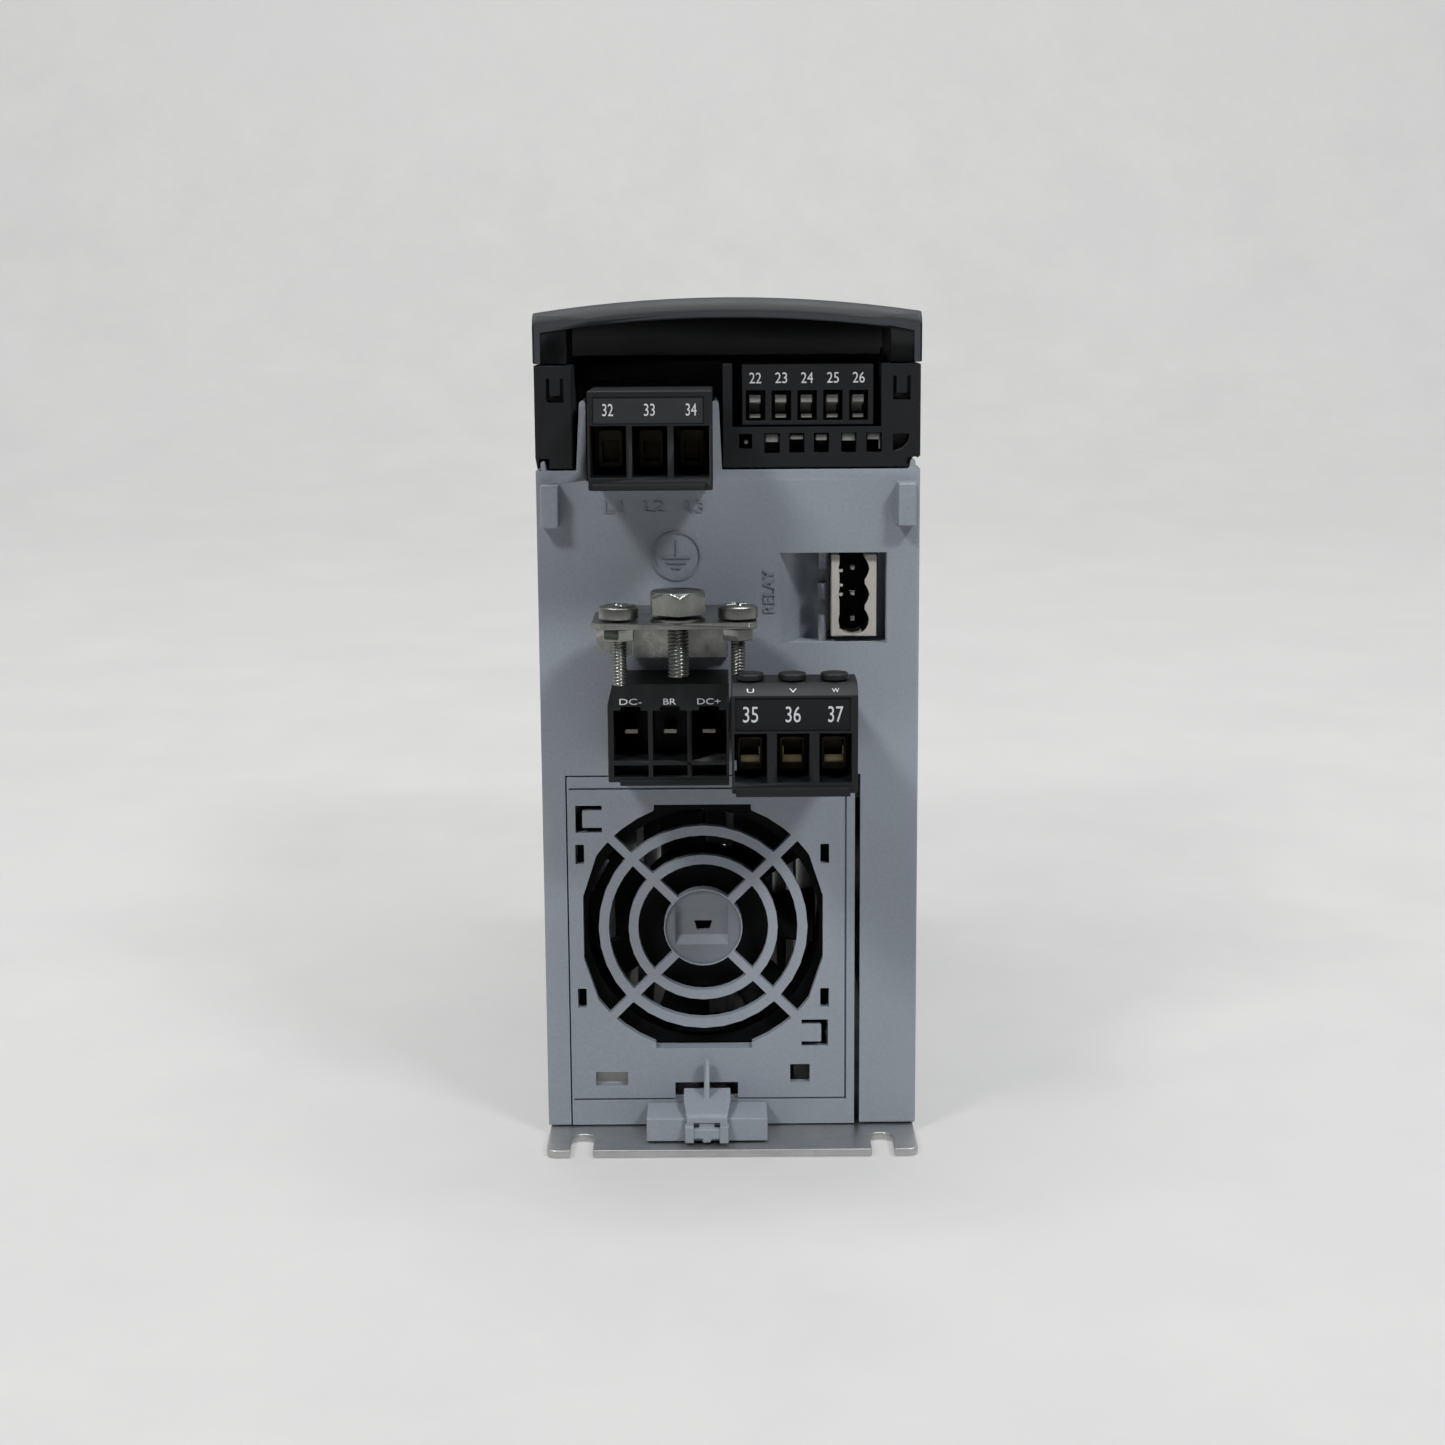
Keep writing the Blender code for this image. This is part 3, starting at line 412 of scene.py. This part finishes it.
def thread_radius(r, pitch, depth):
    """Radius of a V thread at an angle and height."""
    def at(angle, _, z):
        phase = (z / pitch - angle / (2 * math.pi)) % 1.0
        return r - depth * abs(2 * phase - 1)
    return at


def threaded_rows(centre, r, z0, z1, pitch, depth, count):
    steps = max(4, int(round((z1 - z0) / (pitch / 6))))
    profile = [(r, z0 + (z1 - z0) * i / steps) for i in range(steps + 1)]
    return turned_rows(centre, profile, count, thread_radius(r, pitch, depth))


def hexagon(flats, turn, chamfer_at):
    """Radius of a hexagonal head, cut back by a cone at its ends."""
    apothem = flats / 2

    def at(angle, _, z):
        local = (angle + turn) % (math.pi / 3) - math.pi / 6
        return min(apothem / math.cos(local), chamfer_at(z))
    return at


def lettering(name, text, centre, width, height, body, finish, slot, depth=0.05 * MM,
              upward=False, lean=0.0):
    """Raised or printed characters on a face that looks along -Y, in a box of width x height."""
    curve = bpy.data.curves.new(name, "FONT")
    curve.body = text
    curve.extrude = 0.5
    curve.resolution_u = 4
    scratch = bpy.data.objects.new(name + "_scratch", curve)
    bpy.context.collection.objects.link(scratch)
    bpy.context.view_layer.update()
    mesh = bpy.data.meshes.new_from_object(scratch.evaluated_get(bpy.context.evaluated_depsgraph_get()))
    bpy.data.objects.remove(scratch)
    points = [vert.co.copy() for vert in mesh.vertices]
    lows = Vector(min(p[i] for p in points) for i in range(3))
    highs = Vector(max(p[i] for p in points) for i in range(3))
    size = highs - lows
    for vert in mesh.vertices:
        u = ((vert.co.x - lows.x) / size.x - 0.5) * width
        v = ((vert.co.y - lows.y) / size.y - 0.5) * height
        w = (vert.co.z - lows.z) / size.z * depth
        if upward:
            u, v = -v, u
        vert.co = Vector((u, -w, v))
    if lean:
        mesh.transform(Matrix.Rotation(lean, 4, "X"))
    mesh.transform(Matrix.Translation(centre))
    mesh.materials.clear()
    mesh.materials.append(finish)
    piece = bpy.data.objects.new(name, mesh)
    bpy.context.collection.objects.link(piece)
    return keep(piece, body, slot)


def block(name, lows, highs, finish, body, slot, ease):
    """A small moulded or stamped block with eased edges."""
    bm = bmesh.new()
    bmesh.ops.create_cube(bm, size=1.0)
    lows = Vector(lows)
    highs = Vector(highs)
    for vert in bm.verts:
        share = vert.co + Vector((0.5, 0.5, 0.5))
        vert.co = Vector(lows[i] + share[i] * (highs[i] - lows[i]) for i in range(3))
    bmesh.ops.bevel(bm, geom=list(bm.edges), offset=ease * MM, segments=2, profile=0.6,
                    affect="EDGES", clamp_overlap=True)
    return keep(piece_from(name, bm, finish, 40), body, slot)


# ---------------------------------------------------------------- the CAD's own parts, edges eased by mm
EASED = {
    "main_housing": 0.35, "control_housing": 0.3, "front_cover": 0.4, "blind_cover": 0.5,
    "fan_cover": 0.22, "latch_receiver": 0.3, "fan_latch": 0.22, "fan_frame": 0.3, "fan_rotor": 0.2,
    "mains_plug": 0.25, "dc_plug": 0.25, "motor_plug": 0.25, "control_terminals": 0.2,
    "relay_header": 0.2, "back_plate": 0.25, "pe_bracket": 0.2, "heat_sink": 0.15,
    "mains_header": 0.2, "dc_header": 0.3, "motor_header": 0.3, "power_board": 0.1, "control_board": 0.1,
    "power_module": 0.3, "capacitor_1": 0.3, "capacitor_2": 0.3, "line_choke": 0.6, "status_lens": 0.2,
    "pe_nut_left": 0.15, "pe_nut_right": 0.15, "motor_screw_1": 0.12, "motor_screw_2": 0.12,
    "motor_screw_3": 0.12,
}

ARCH_RADIUS = 251.2 * MM
ARCH_THICKNESS = 3.3 * MM
COVER_WALL = 0.6 * MM
PILLAR_DEPTH = 3.0 * MM
BAY_HALF_WIDTH = 30.5 * MM
BAY_MOUTH = 16.0 * MM
BAY_SIDE = 34.0 * MM
BAY_FLOOR = 136.0 * MM
BAY_CEILING = 156.0 * MM
HUB_RADIUS = 7.75 * MM
SOCKET_RIM = 1.0 * MM
SOCKET_LIP = 0.6 * MM


def arch_height(x):
    """Height of the cover's arch above a place across the drive."""
    return high("front_cover").z - ARCH_RADIUS + math.sqrt(ARCH_RADIUS ** 2 - x * x)


def cover_with_painted_shade(cover):
    """Painted shade: the cover's pillars and inside are painted black behind its lighter arch; faces
    within the bay's width take the paler black of painted fill light.
    """
    cover.data.materials.append(FINISHES["black_plastic"])
    cover.data.materials.append(BLACK_WITH_PAINTED_FILL_LIGHT)
    half = high("front_cover").x - COVER_WALL
    front = low("front_cover").y
    for face in cover.data.polygons:
        across = abs(face.center.x)
        below = face.center.z < arch_height(face.center.x) - ARCH_THICKNESS
        if below and (across <= half or face.center.y < front + PILLAR_DEPTH):
            # Painted shade on the pillars and inside; over the bay, the paler black of painted fill
            # light.
            face.material_index = 2 if across < BAY_HALF_WIDTH else 1


def bay_with_painted_fill_light(housing):
    """Painted light: the wiring bay behind the plugs, which the light hardly reaches, in a duller, paler
    black that stands in for fill light.
    """
    housing.data.materials.append(BLACK_WITH_PAINTED_FILL_LIGHT)
    front = FACE_Y + BAY_MOUTH
    for face in housing.data.polygons:
        spot = face.center
        if spot.y > front and abs(spot.x) < BAY_SIDE and BAY_FLOOR < spot.z < BAY_CEILING:
            face.material_index = 1


def hub_with_painted_shade(cover):
    """Painted shade: the grille's set-back hub, except for faces turned upward, is given a darker grey
    than the plate.
    """
    cover.data.materials.append(HUB_PAINTED_SHADE)
    hub = middle("fan_rotor")
    front = low("fan_cover").y + 0.2 * MM
    for face in cover.data.polygons:
        reach = math.hypot(face.center.x - hub.x, face.center.z - hub.z)
        if reach < HUB_RADIUS and face.center.y > front and face.normal.z < 0.4:
            face.material_index = 1


def socket_with_painted_shade(header):
    """Painted shade: the relay socket's inside is painted black behind its pale rim."""
    header.data.materials.append(BLACK_WITH_PAINTED_SHADE)
    front = low("relay_header").y + SOCKET_LIP
    rim = Vector((SOCKET_RIM, 0.0, SOCKET_RIM))
    lows = low("relay_header") + rim
    highs = high("relay_header") - rim
    for face in header.data.polygons:
        spot = face.center
        inside = lows.x < spot.x < highs.x and lows.z < spot.z < highs.z
        if inside and spot.y > front:
            face.material_index = 1


def carry_over():
    """Every moulded, pressed or cast part of the CAD, with eased edges and its finish."""
    for node, width in EASED.items():
        # The fan frame and rotor take the half black: their own black plus painted shade inside the
        # housing.
        piece = refine(node, width, finish=BLACK_WITH_PAINTED_SHADE if node in ("fan_frame", "fan_rotor") else None)
        if node == "front_cover":
            cover_with_painted_shade(piece)
        if node == "control_housing":
            bay_with_painted_fill_light(piece)
        if node == "fan_cover":
            hub_with_painted_shade(piece)
        if node == "relay_header":
            socket_with_painted_shade(piece)
    for i in (1, 2, 3):
        # The clamps in the bores take the dark brass: tarnish plus painted shade.
        refine("mains_clamp_%d" % i, 0.2, finish=TARNISHED_SHADED_BRASS)
        refine("motor_clamp_%d" % i, 0.2, finish=TARNISHED_SHADED_BRASS)
        refine("dc_blade_%d" % i, 0.15, finish=DULL_TIN)
        refine("relay_pin_%d" % i, 0.15)
    for i in range(1, 6):
        refine("control_clamp_%d" % i, 0.1, finish=DULL_TIN)


# ---------------------------------------------------------------- earth connection
BOLT_FLATS = 10.0 * MM
BOLT_HEAD = 4.2 * MM
BOLT_THREAD = 2.05 * MM
BOLT_PITCH = 0.7 * MM
BOLT_TURN = math.radians(-35)
SCREW_HEAD = 2.6 * MM
SCREW_THREAD = 1.45 * MM
SCREW_PITCH = 0.6 * MM
SCREW_TURN = math.radians(20)


def pe_bolt():
    """Hexagonal earth bolt with a dished head and a cut thread, and its washer."""
    centre = middle("pe_bolt")
    centre.z = 0.0
    zinc = FINISHES["zinc_steel"]
    base = high("pe_bolt").z
    head_low = base - BOLT_HEAD

    def chamfer(z):
        return 5.75 * MM - max(0.0, 0.9 * MM - (base - z)) * 0.9

    bm = bmesh.new()
    heights = [head_low, head_low + 0.2 * MM, base - 1.2 * MM, base - 0.9 * MM, base - 0.6 * MM]
    heights += [base - 0.3 * MM, base - 0.1 * MM, base]
    outline = hexagon(BOLT_FLATS, BOLT_TURN, chamfer)
    rows = turned_rows(centre, [(1.0, z) for z in heights], 96, outline, -BOLT_TURN)
    dish = [(4.3 * MM, base), (4.1 * MM, base - 0.15 * MM), (2.0 * MM, base - 0.2 * MM)]
    rows += turned_rows(centre, dish, 96, start=-BOLT_TURN)
    under = [(3.1 * MM, head_low - 0.3 * MM), (4.6 * MM, head_low - 0.25 * MM)]
    flange = turned_rows(centre, under, 96, start=-BOLT_TURN)
    ring_grid(bm, flange + rows)
    shank = threaded_rows(centre, BOLT_THREAD, low("pe_bolt").z, head_low, BOLT_PITCH, 0.35 * MM, 36)
    ring_grid(bm, shank)
    keep(piece_from("pe_bolt_turned", bm, zinc, 25), "pe_bolt", "zinc_steel", "pe_bolt")

    bm = bmesh.new()
    plate_top = high("pe_bracket").z
    profile = ((2.5, 0.02), (5.2, 0.02), (5.2, 0.45), (4.9, 0.6), (2.5, 0.65), (2.5, 0.02))
    rows = turned_rows(centre, [(r * MM, plate_top + z * MM) for r, z in profile], 64)
    ring_grid(bm, rows, caps=False)
    washer = piece_from("pe_washer_pressed", bm, zinc, 30)
    keep(washer, BODY_OF["pe_washer"], "zinc_steel", "pe_washer")


def pe_screw(node):
    """Pan-head screw with a cross recess and a cut thread."""
    centre = middle(node)
    top = high(node).z
    centre.z = 0.0
    bm = bmesh.new()
    under = top - SCREW_HEAD
    profile = [(1.3, under), (3.55, under), (3.72, under + 0.15 * MM), (3.75, top - 0.9 * MM)]
    profile += [(3.65, top - 0.45 * MM), (3.3, top - 0.15 * MM), (2.6, top), (0.4, top)]
    rows = turned_rows(centre, [(r * MM, z) for r, z in profile], 64)
    ring_grid(bm, rows)
    head = piece_from(node + "_head", bm, FINISHES["zinc_steel"], 30)
    cutter = bmesh.new()
    for turn in (0, 90):
        made = bmesh.ops.create_cube(cutter, size=1.0)["verts"]
        turned = Matrix.Rotation(math.radians(turn) + SCREW_TURN, 4, "Z")
        slot = Matrix.Diagonal((5.0 * MM, 0.9 * MM, 2.6 * MM, 1.0))
        shape = Matrix.Translation(centre + Vector((0, 0, top))) @ turned @ slot
        bmesh.ops.transform(cutter, matrix=shape, verts=made)
    tool = piece_from(node + "_recess", cutter, FINISHES["zinc_steel"])
    cut = head.modifiers.new("recess", "BOOLEAN")
    cut.object = tool
    cut.solver = "EXACT"
    cut.use_self = True
    bpy.context.view_layer.update()
    evaluated = head.evaluated_get(bpy.context.evaluated_depsgraph_get())
    mesh = bpy.data.meshes.new_from_object(evaluated)
    head.modifiers.clear()
    head.data = mesh
    bpy.data.objects.remove(tool)
    keep(head, BODY_OF[node], "zinc_steel", node)
    bm = bmesh.new()
    ring_grid(bm, threaded_rows(centre, SCREW_THREAD, low(node).z, under, SCREW_PITCH, 0.28 * MM, 30))
    keep(piece_from(node + "_thread", bm, FINISHES["zinc_steel"], 25), BODY_OF[node], "zinc_steel")


# ---------------------------------------------------------------- numbers and moulded marks
def terminal_numbers():
    """White marks: running numbers on the terminals, phases over the motor plug, DC over its cells."""
    z = high("mains_plug").z - 3.45 * MM
    for i, text in enumerate(("32", "33", "34")):
        spot = Vector((middle("mains_clamp_%d" % (i + 1)).x, MAINS_LABEL_Y - 0.1 * MM, z))
        lettering("mains_number_%d" % (i + 1), text, spot, 2.0 * MM, 2.25 * MM, "mains_plug", INK,
                  "black_plastic")
    z = high("motor_plug").z - 5.5 * MM
    for i, text in enumerate(("35", "36", "37")):
        spot = Vector((middle("motor_clamp_%d" % (i + 1)).x, MOTOR_FRONT_Y + 0.3 * MM, z))
        lettering("motor_number_%d" % (i + 1), text, spot, 2.75 * MM, 2.95 * MM, "motor_plug", INK,
                  "black_plastic")
    z = high("motor_plug").z - 1.22 * MM
    for i, text in enumerate(("U", "V", "W")):
        spot = Vector((middle("motor_clamp_%d" % (i + 1)).x, MOTOR_FRONT_Y + 1.0 * MM, z))
        lettering("phase_mark_%d" % (i + 1), text, spot, 1.3 * MM, 1.0 * MM, "motor_plug", INK,
                  "black_plastic", lean=math.radians(-52))
    z = high("dc_plug").z - 3.3 * MM
    for i, (text, width) in enumerate((("DC-", 4.2), ("BR", 2.4), ("DC+", 4.4))):
        spot = Vector((middle("dc_blade_%d" % (i + 1)).x, DC_FRONT_Y, z))
        lettering("dc_mark_%d" % (i + 1), text, spot, width * MM, 1.15 * MM, "dc_plug", INK,
                  "black_plastic")
    z = high("control_terminals").z - 2.5 * MM
    for i, text in enumerate(("22", "23", "24", "25", "26")):
        x = middle("control_clamp_%d" % (i + 1)).x + 0.1 * MM
        spot = Vector((x, low("control_terminals").y, z))
        lettering("control_number_%d" % (i + 1), text, spot, 2.3 * MM, 2.05 * MM, "base", INK,
                  "black_plastic")


def label_plates():
    """Slightly raised, paler plates that carry the numbers of the plugs."""
    plate = moulded("label_plate", shade(BLACK, 2.1), 0.5, 0.4, 0.3)
    lower_plate = moulded("lower_label_plate", shade(BLACK, 1.2), 0.62, 0.4, 0.2, 0.22)
    top = high("mains_plug").z
    lows = (-24.95 * MM, MAINS_LABEL_Y - 0.1 * MM, top - 5.95 * MM)
    highs = (-4.6 * MM, MAINS_LABEL_Y + 0.3 * MM, top - 1.15 * MM)
    block("mains_label", lows, highs, plate, "mains_plug", "black_plastic", 0.08)
    top = high("motor_plug").z
    lows = (1.05 * MM, MOTOR_FRONT_Y + 0.3 * MM, top - 8.5 * MM)
    highs = (21.95 * MM, MOTOR_FRONT_Y + 0.7 * MM, top - 2.55 * MM)
    block("motor_label", lows, highs, lower_plate, "motor_plug", "black_plastic", 0.08)


def contact_tails():
    """Bent ends of the control contacts, seen in the row of windows under the control terminals.

    Each row is the place across, half the width and the lowest and highest height, in mm.
    """
    zinc = FINISHES["zinc_steel"]
    y = FACE_Y + 1.2 * MM
    shapes = ((8.6, 1.3, 140.2, 141.8), (13.4, 1.35, 140.7, 141.6), (18.2, 1.1, 140.5, 141.7),
              (23.5, 1.35, 140.4, 141.9), (28.4, 1.3, 140.6, 141.9))
    for i, (x, half, z0, z1) in enumerate(shapes):
        lows = ((x - half) * MM, y, z0 * MM)
        highs = ((x + half) * MM, y + 1.4 * MM, z1 * MM)
        block("contact_tail_%d" % (i + 1), lows, highs, zinc, "base", "zinc_steel", 0.15)
    lows = (29.35 * MM, y, 138.8 * MM)
    highs = (29.7 * MM, y + 0.8 * MM, 141.4 * MM)
    block("contact_tail_6", lows, highs, zinc, "base", "zinc_steel", 0.1)
    centre = Vector((3.55 * MM, y, 140.3 * MM))
    bm = bmesh.new()
    rows = []
    for r, depth in ((0.05, 0.0), (0.4, 0.05), (0.55, 0.25), (0.6, 0.5), (0.6, 2.0)):
        rows.append([centre + Vector((math.cos(a) * r * MM, depth * MM, math.sin(a) * r * MM))
                     for a in (2 * math.pi * i / 20 for i in range(20))])
    ring_grid(bm, rows)
    keep(piece_from("test_pin", bm, zinc, 40), "base", "zinc_steel")


def motor_bars():
    """Brass lower jaws of the motor clamps, each with the bent edge of its cage."""
    brass = FINISHES["brass"]
    for i, side in ((1, 1), (2, -1), (3, 1)):
        node = "motor_clamp_%d" % i
        x = middle(node).x
        y = low(node).y
        tall = high(node).z - low(node).z
        upper = high(node).z - 0.53 * tall
        lows = (x - 1.85 * MM, y - 0.45 * MM, upper - 0.25 * tall)
        highs = (x + 1.85 * MM, y + 0.3 * MM, upper)
        block("motor_bar_%d" % i, lows, highs, brass, "motor_plug", "brass", 0.15)
        edge = x + side * 1.7 * MM
        lows = (edge - 0.12 * MM, y - 0.45 * MM, upper)
        highs = (edge + 0.12 * MM, y + 0.1 * MM, upper + 1.6 * MM)
        block("motor_cage_%d" % i, lows, highs, brass, "motor_plug", "brass", 0.05)


def control_springs():
    """Bright ends of the spring clamps behind the control openings."""
    zinc = FINISHES["zinc_steel"]
    for i in range(1, 6):
        node = "control_clamp_%d" % i
        x = middle(node).x
        y = low(node).y
        top = high(node).z
        foot = low(node).z
        lows = (x - 1.1 * MM, y - 0.3 * MM, top - 1.6 * MM)
        highs = (x + 1.1 * MM, y + 0.5 * MM, top - 0.2 * MM)
        block("control_spring_%d" % i, lows, highs, zinc, BODY_OF[node], "zinc_steel", 0.15)
        lows = (x - 1.05 * MM, y - 0.1 * MM, foot)
        highs = (x + 1.05 * MM, y + 0.6 * MM, foot + 0.7 * MM)
        block("control_jaw_%d" % i, lows, highs, zinc, BODY_OF[node], "zinc_steel", 0.12)


def module_tag():
    """Pale slanted tag behind the small window of the fan module."""
    bm = bmesh.new()
    y = low("fan_cover").y + 2.2 * MM
    front = [(-27.5, 0.0, 9.8), (-21.2, 0.0, 9.8), (-21.2, 1.2, 13.4), (-27.5, 1.2, 13.4)]
    near = [bm.verts.new((x * MM, y + d * MM, z * MM)) for x, d, z in front]
    far = [bm.verts.new((x * MM, y + (d + 0.5) * MM, z * MM)) for x, d, z in front]
    bm.faces.new(near)
    bm.faces.new(list(reversed(far)))
    for i in range(4):
        j = (i + 1) % 4
        bm.faces.new((near[i], near[j], far[j], far[i]))
    keep(piece_from("module_tag", bm, TAG, 30), "fan_module", "beige_plastic")


def moulded_marks():
    """Raised marks on the grey face: the three phases, the relay and the earth sign."""
    raised = 0.35 * MM
    z = high("mains_plug").z - 23.2 * MM
    for i, (text, x, width) in enumerate((("L1", -22.5, 3.6), ("L2", -14.5, 3.8), ("L3", -6.5, 3.8))):
        spot = Vector((x * MM, FACE_Y + 0.02 * MM, z))
        lettering("moulded_mark_%d" % (i + 1), text, spot, width * MM, 2.2 * MM, "base", MARK_GREY,
                  "grey_plastic", depth=raised)
    spot = Vector((7.95 * MM, FACE_Y + 0.02 * MM, middle("relay_header").z + 1.2 * MM))
    lettering("moulded_mark_4", "RELAY", spot, 8.4 * MM, 2.3 * MM, "base", MARK_GREY, "grey_plastic",
              depth=raised, upward=True)
    earth_symbol(Vector((-10.1 * MM, FACE_Y + 0.02 * MM, 118.3 * MM)), raised)


def earth_symbol(centre, raised):
    """Raised circle with the earth sign: one upright and three shrinking bars."""
    bm = bmesh.new()
    count = 64
    rows = []
    for r, y in ((4.85, 0), (4.85, -raised), (4.45, -raised), (4.45, 0), (4.85, 0)):
        ring = [centre + Vector((math.cos(a) * r * MM, y, math.sin(a) * r * MM))
                for a in (2 * math.pi * i / count for i in range(count))]
        rows.append(ring)
    ring_grid(bm, rows, caps=False)
    bars = [(-0.2, 0.2, -0.1, 3.0)]
    for half, z in ((2.8, -0.3), (1.9, -1.3), (0.9, -2.3)):
        bars.append((-half, half, z - 0.2, z + 0.2))
    for x0, x1, z0, z1 in bars:
        made = bmesh.ops.create_cube(bm, size=1.0)["verts"]
        for vert in made:
            share = vert.co + Vector((0.5, 0.5, 0.5))
            x = (x0 + share.x * (x1 - x0)) * MM
            z = (z0 + share.z * (z1 - z0)) * MM
            vert.co = centre + Vector((x, -share.y * raised, z))
    bmesh.ops.remove_doubles(bm, verts=bm.verts, dist=1e-7)
    keep(piece_from("moulded_earth", bm, MARK_GREY, 30), "base", "grey_plastic")


# ---------------------------------------------------------------- set, light and camera
def floor_and_wall():
    """One seamless sheet, faintly lit: a floor that curves up into a wall behind the drive."""
    front = -2.6
    start = 1.1
    radius = 0.7
    wall_top = 3.4
    line = [(front, 0.0)] + [(start * i / 6, 0.0) for i in range(-4, 7)]
    for i in range(1, 25):
        angle = math.pi / 2 * i / 24
        line.append((start + radius * math.sin(angle), radius - radius * math.cos(angle)))
    line += [(start + radius, radius + (wall_top - radius) * i / 6) for i in range(1, 7)]
    bm = bmesh.new()
    sides = []
    for x in (-3.6, 3.6):
        sides.append([bm.verts.new((x, y, z - 0.0002)) for y, z in line])
    for i in range(len(line) - 1):
        bm.faces.new((sides[0][i], sides[1][i], sides[1][i + 1], sides[0][i + 1]))
    f = Finish("studio_paper")
    mottle = f.noise(14.0, 8.0, 0.72)
    clouds = f.noise(2.2, 4.0, 0.6)
    base = f.mix(f.ramp(mottle, 0.38, 0.66, 0.0, 1.0), (0.272, 0.272, 0.267), (0.300, 0.297, 0.292))
    paper = f.mix(f.ramp(clouds, 0.3, 0.7, 0.0, 0.5), base, (0.289, 0.289, 0.289))
    f.colour(paper)
    f.link(paper, f.shader.inputs["Emission Color"])
    f.set(Emission_Strength=1.0)
    f.roughness(f.ramp(mottle, 0.3, 0.7, 0.55, 0.75))
    f.bump(mottle, 0.15, 0.4 * MM)
    piece_from("floor", bm, f.material, 60)


def soft_light(name, place, target, size, power, colour):
    """A rectangular lamp of size (width, height) in metres and power in watts."""
    lamp = bpy.data.lights.new(name, "AREA")
    lamp.shape = "RECTANGLE"
    lamp.size = size[0]
    lamp.size_y = size[1]
    lamp.energy = power
    lamp.color = colour
    light = bpy.data.objects.new(name, lamp)
    light.location = place
    light.rotation_euler = (Vector(target) - Vector(place)).to_track_quat("-Z", "Y").to_euler()
    bpy.context.collection.objects.link(light)


def studio_light():
    """Two soft lamps, high before the drive, in a room that is dark behind the camera."""
    world = bpy.data.worlds.new("studio")
    bpy.context.scene.world = world
    world.use_nodes = True
    nodes = world.node_tree.nodes
    links = world.node_tree.links
    sky = nodes["Background"]
    sky.inputs["Color"].default_value = (0.95, 0.97, 1.0, 1.0)
    direction = nodes.new("ShaderNodeTexCoord")
    parts = nodes.new("ShaderNodeSeparateXYZ")
    links.new(direction.outputs["Generated"], parts.inputs["Vector"])
    strength = nodes.new("ShaderNodeMapRange")
    links.new(parts.outputs["Y"], strength.inputs["Value"])
    strength.inputs["From Min"].default_value = -0.4
    strength.inputs["From Max"].default_value = 0.5
    strength.inputs["To Min"].default_value = 0.07
    strength.inputs["To Max"].default_value = 0.6
    links.new(strength.outputs["Result"], sky.inputs["Strength"])
    drive = (0.0, -0.05, 0.1)
    size = (0.36, 0.26)
    soft_light("light_left", (-0.8, -1.05, 1.3), drive, size, 13.8, (1.0, 0.99, 0.97))
    soft_light("light_right", (0.8, -1.05, 1.3), drive, size, 15.0, (0.97, 0.98, 1.0))
    soft_light("light_wall", (0.0, 0.2, 2.3), (0.0, 1.5, 0.6), (2.4, 0.8), 52.0, (0.98, 0.98, 1.0))


def camera():
    """Camera before the connection end, level with the front cover and tipped slightly down."""
    place = Vector((-1.39, -552.1, 168.0)) * MM
    pitch = math.radians(10.19)
    roll = math.radians(0.383)
    sensor = 36.0
    lens_share = 2366.0 / 1445.0
    lens = bpy.data.cameras.new("camera")
    lens.sensor_width = sensor
    lens.lens = sensor * lens_share
    lens.clip_start = 0.02
    eye = bpy.data.objects.new("camera", lens)
    forward = Vector((0, math.cos(pitch), -math.sin(pitch)))
    level = Vector((0, math.sin(pitch), math.cos(pitch)))
    right = Vector((1, 0, 0)) * math.cos(roll) - level * math.sin(roll)
    upward = Vector((1, 0, 0)) * math.sin(roll) + level * math.cos(roll)
    turn = Matrix((right, upward, -forward)).transposed().to_4x4()
    eye.matrix_world = Matrix.Translation(place) @ turn
    bpy.context.collection.objects.link(eye)
    bpy.context.scene.camera = eye


bpy.context.scene.view_settings.view_transform = "Standard"
floor_and_wall()
studio_light()
camera()
carry_over()
pe_bolt()
pe_screw("pe_screw_left")
pe_screw("pe_screw_right")
label_plates()
terminal_numbers()
contact_tails()
motor_bars()
control_springs()
module_tag()
moulded_marks()
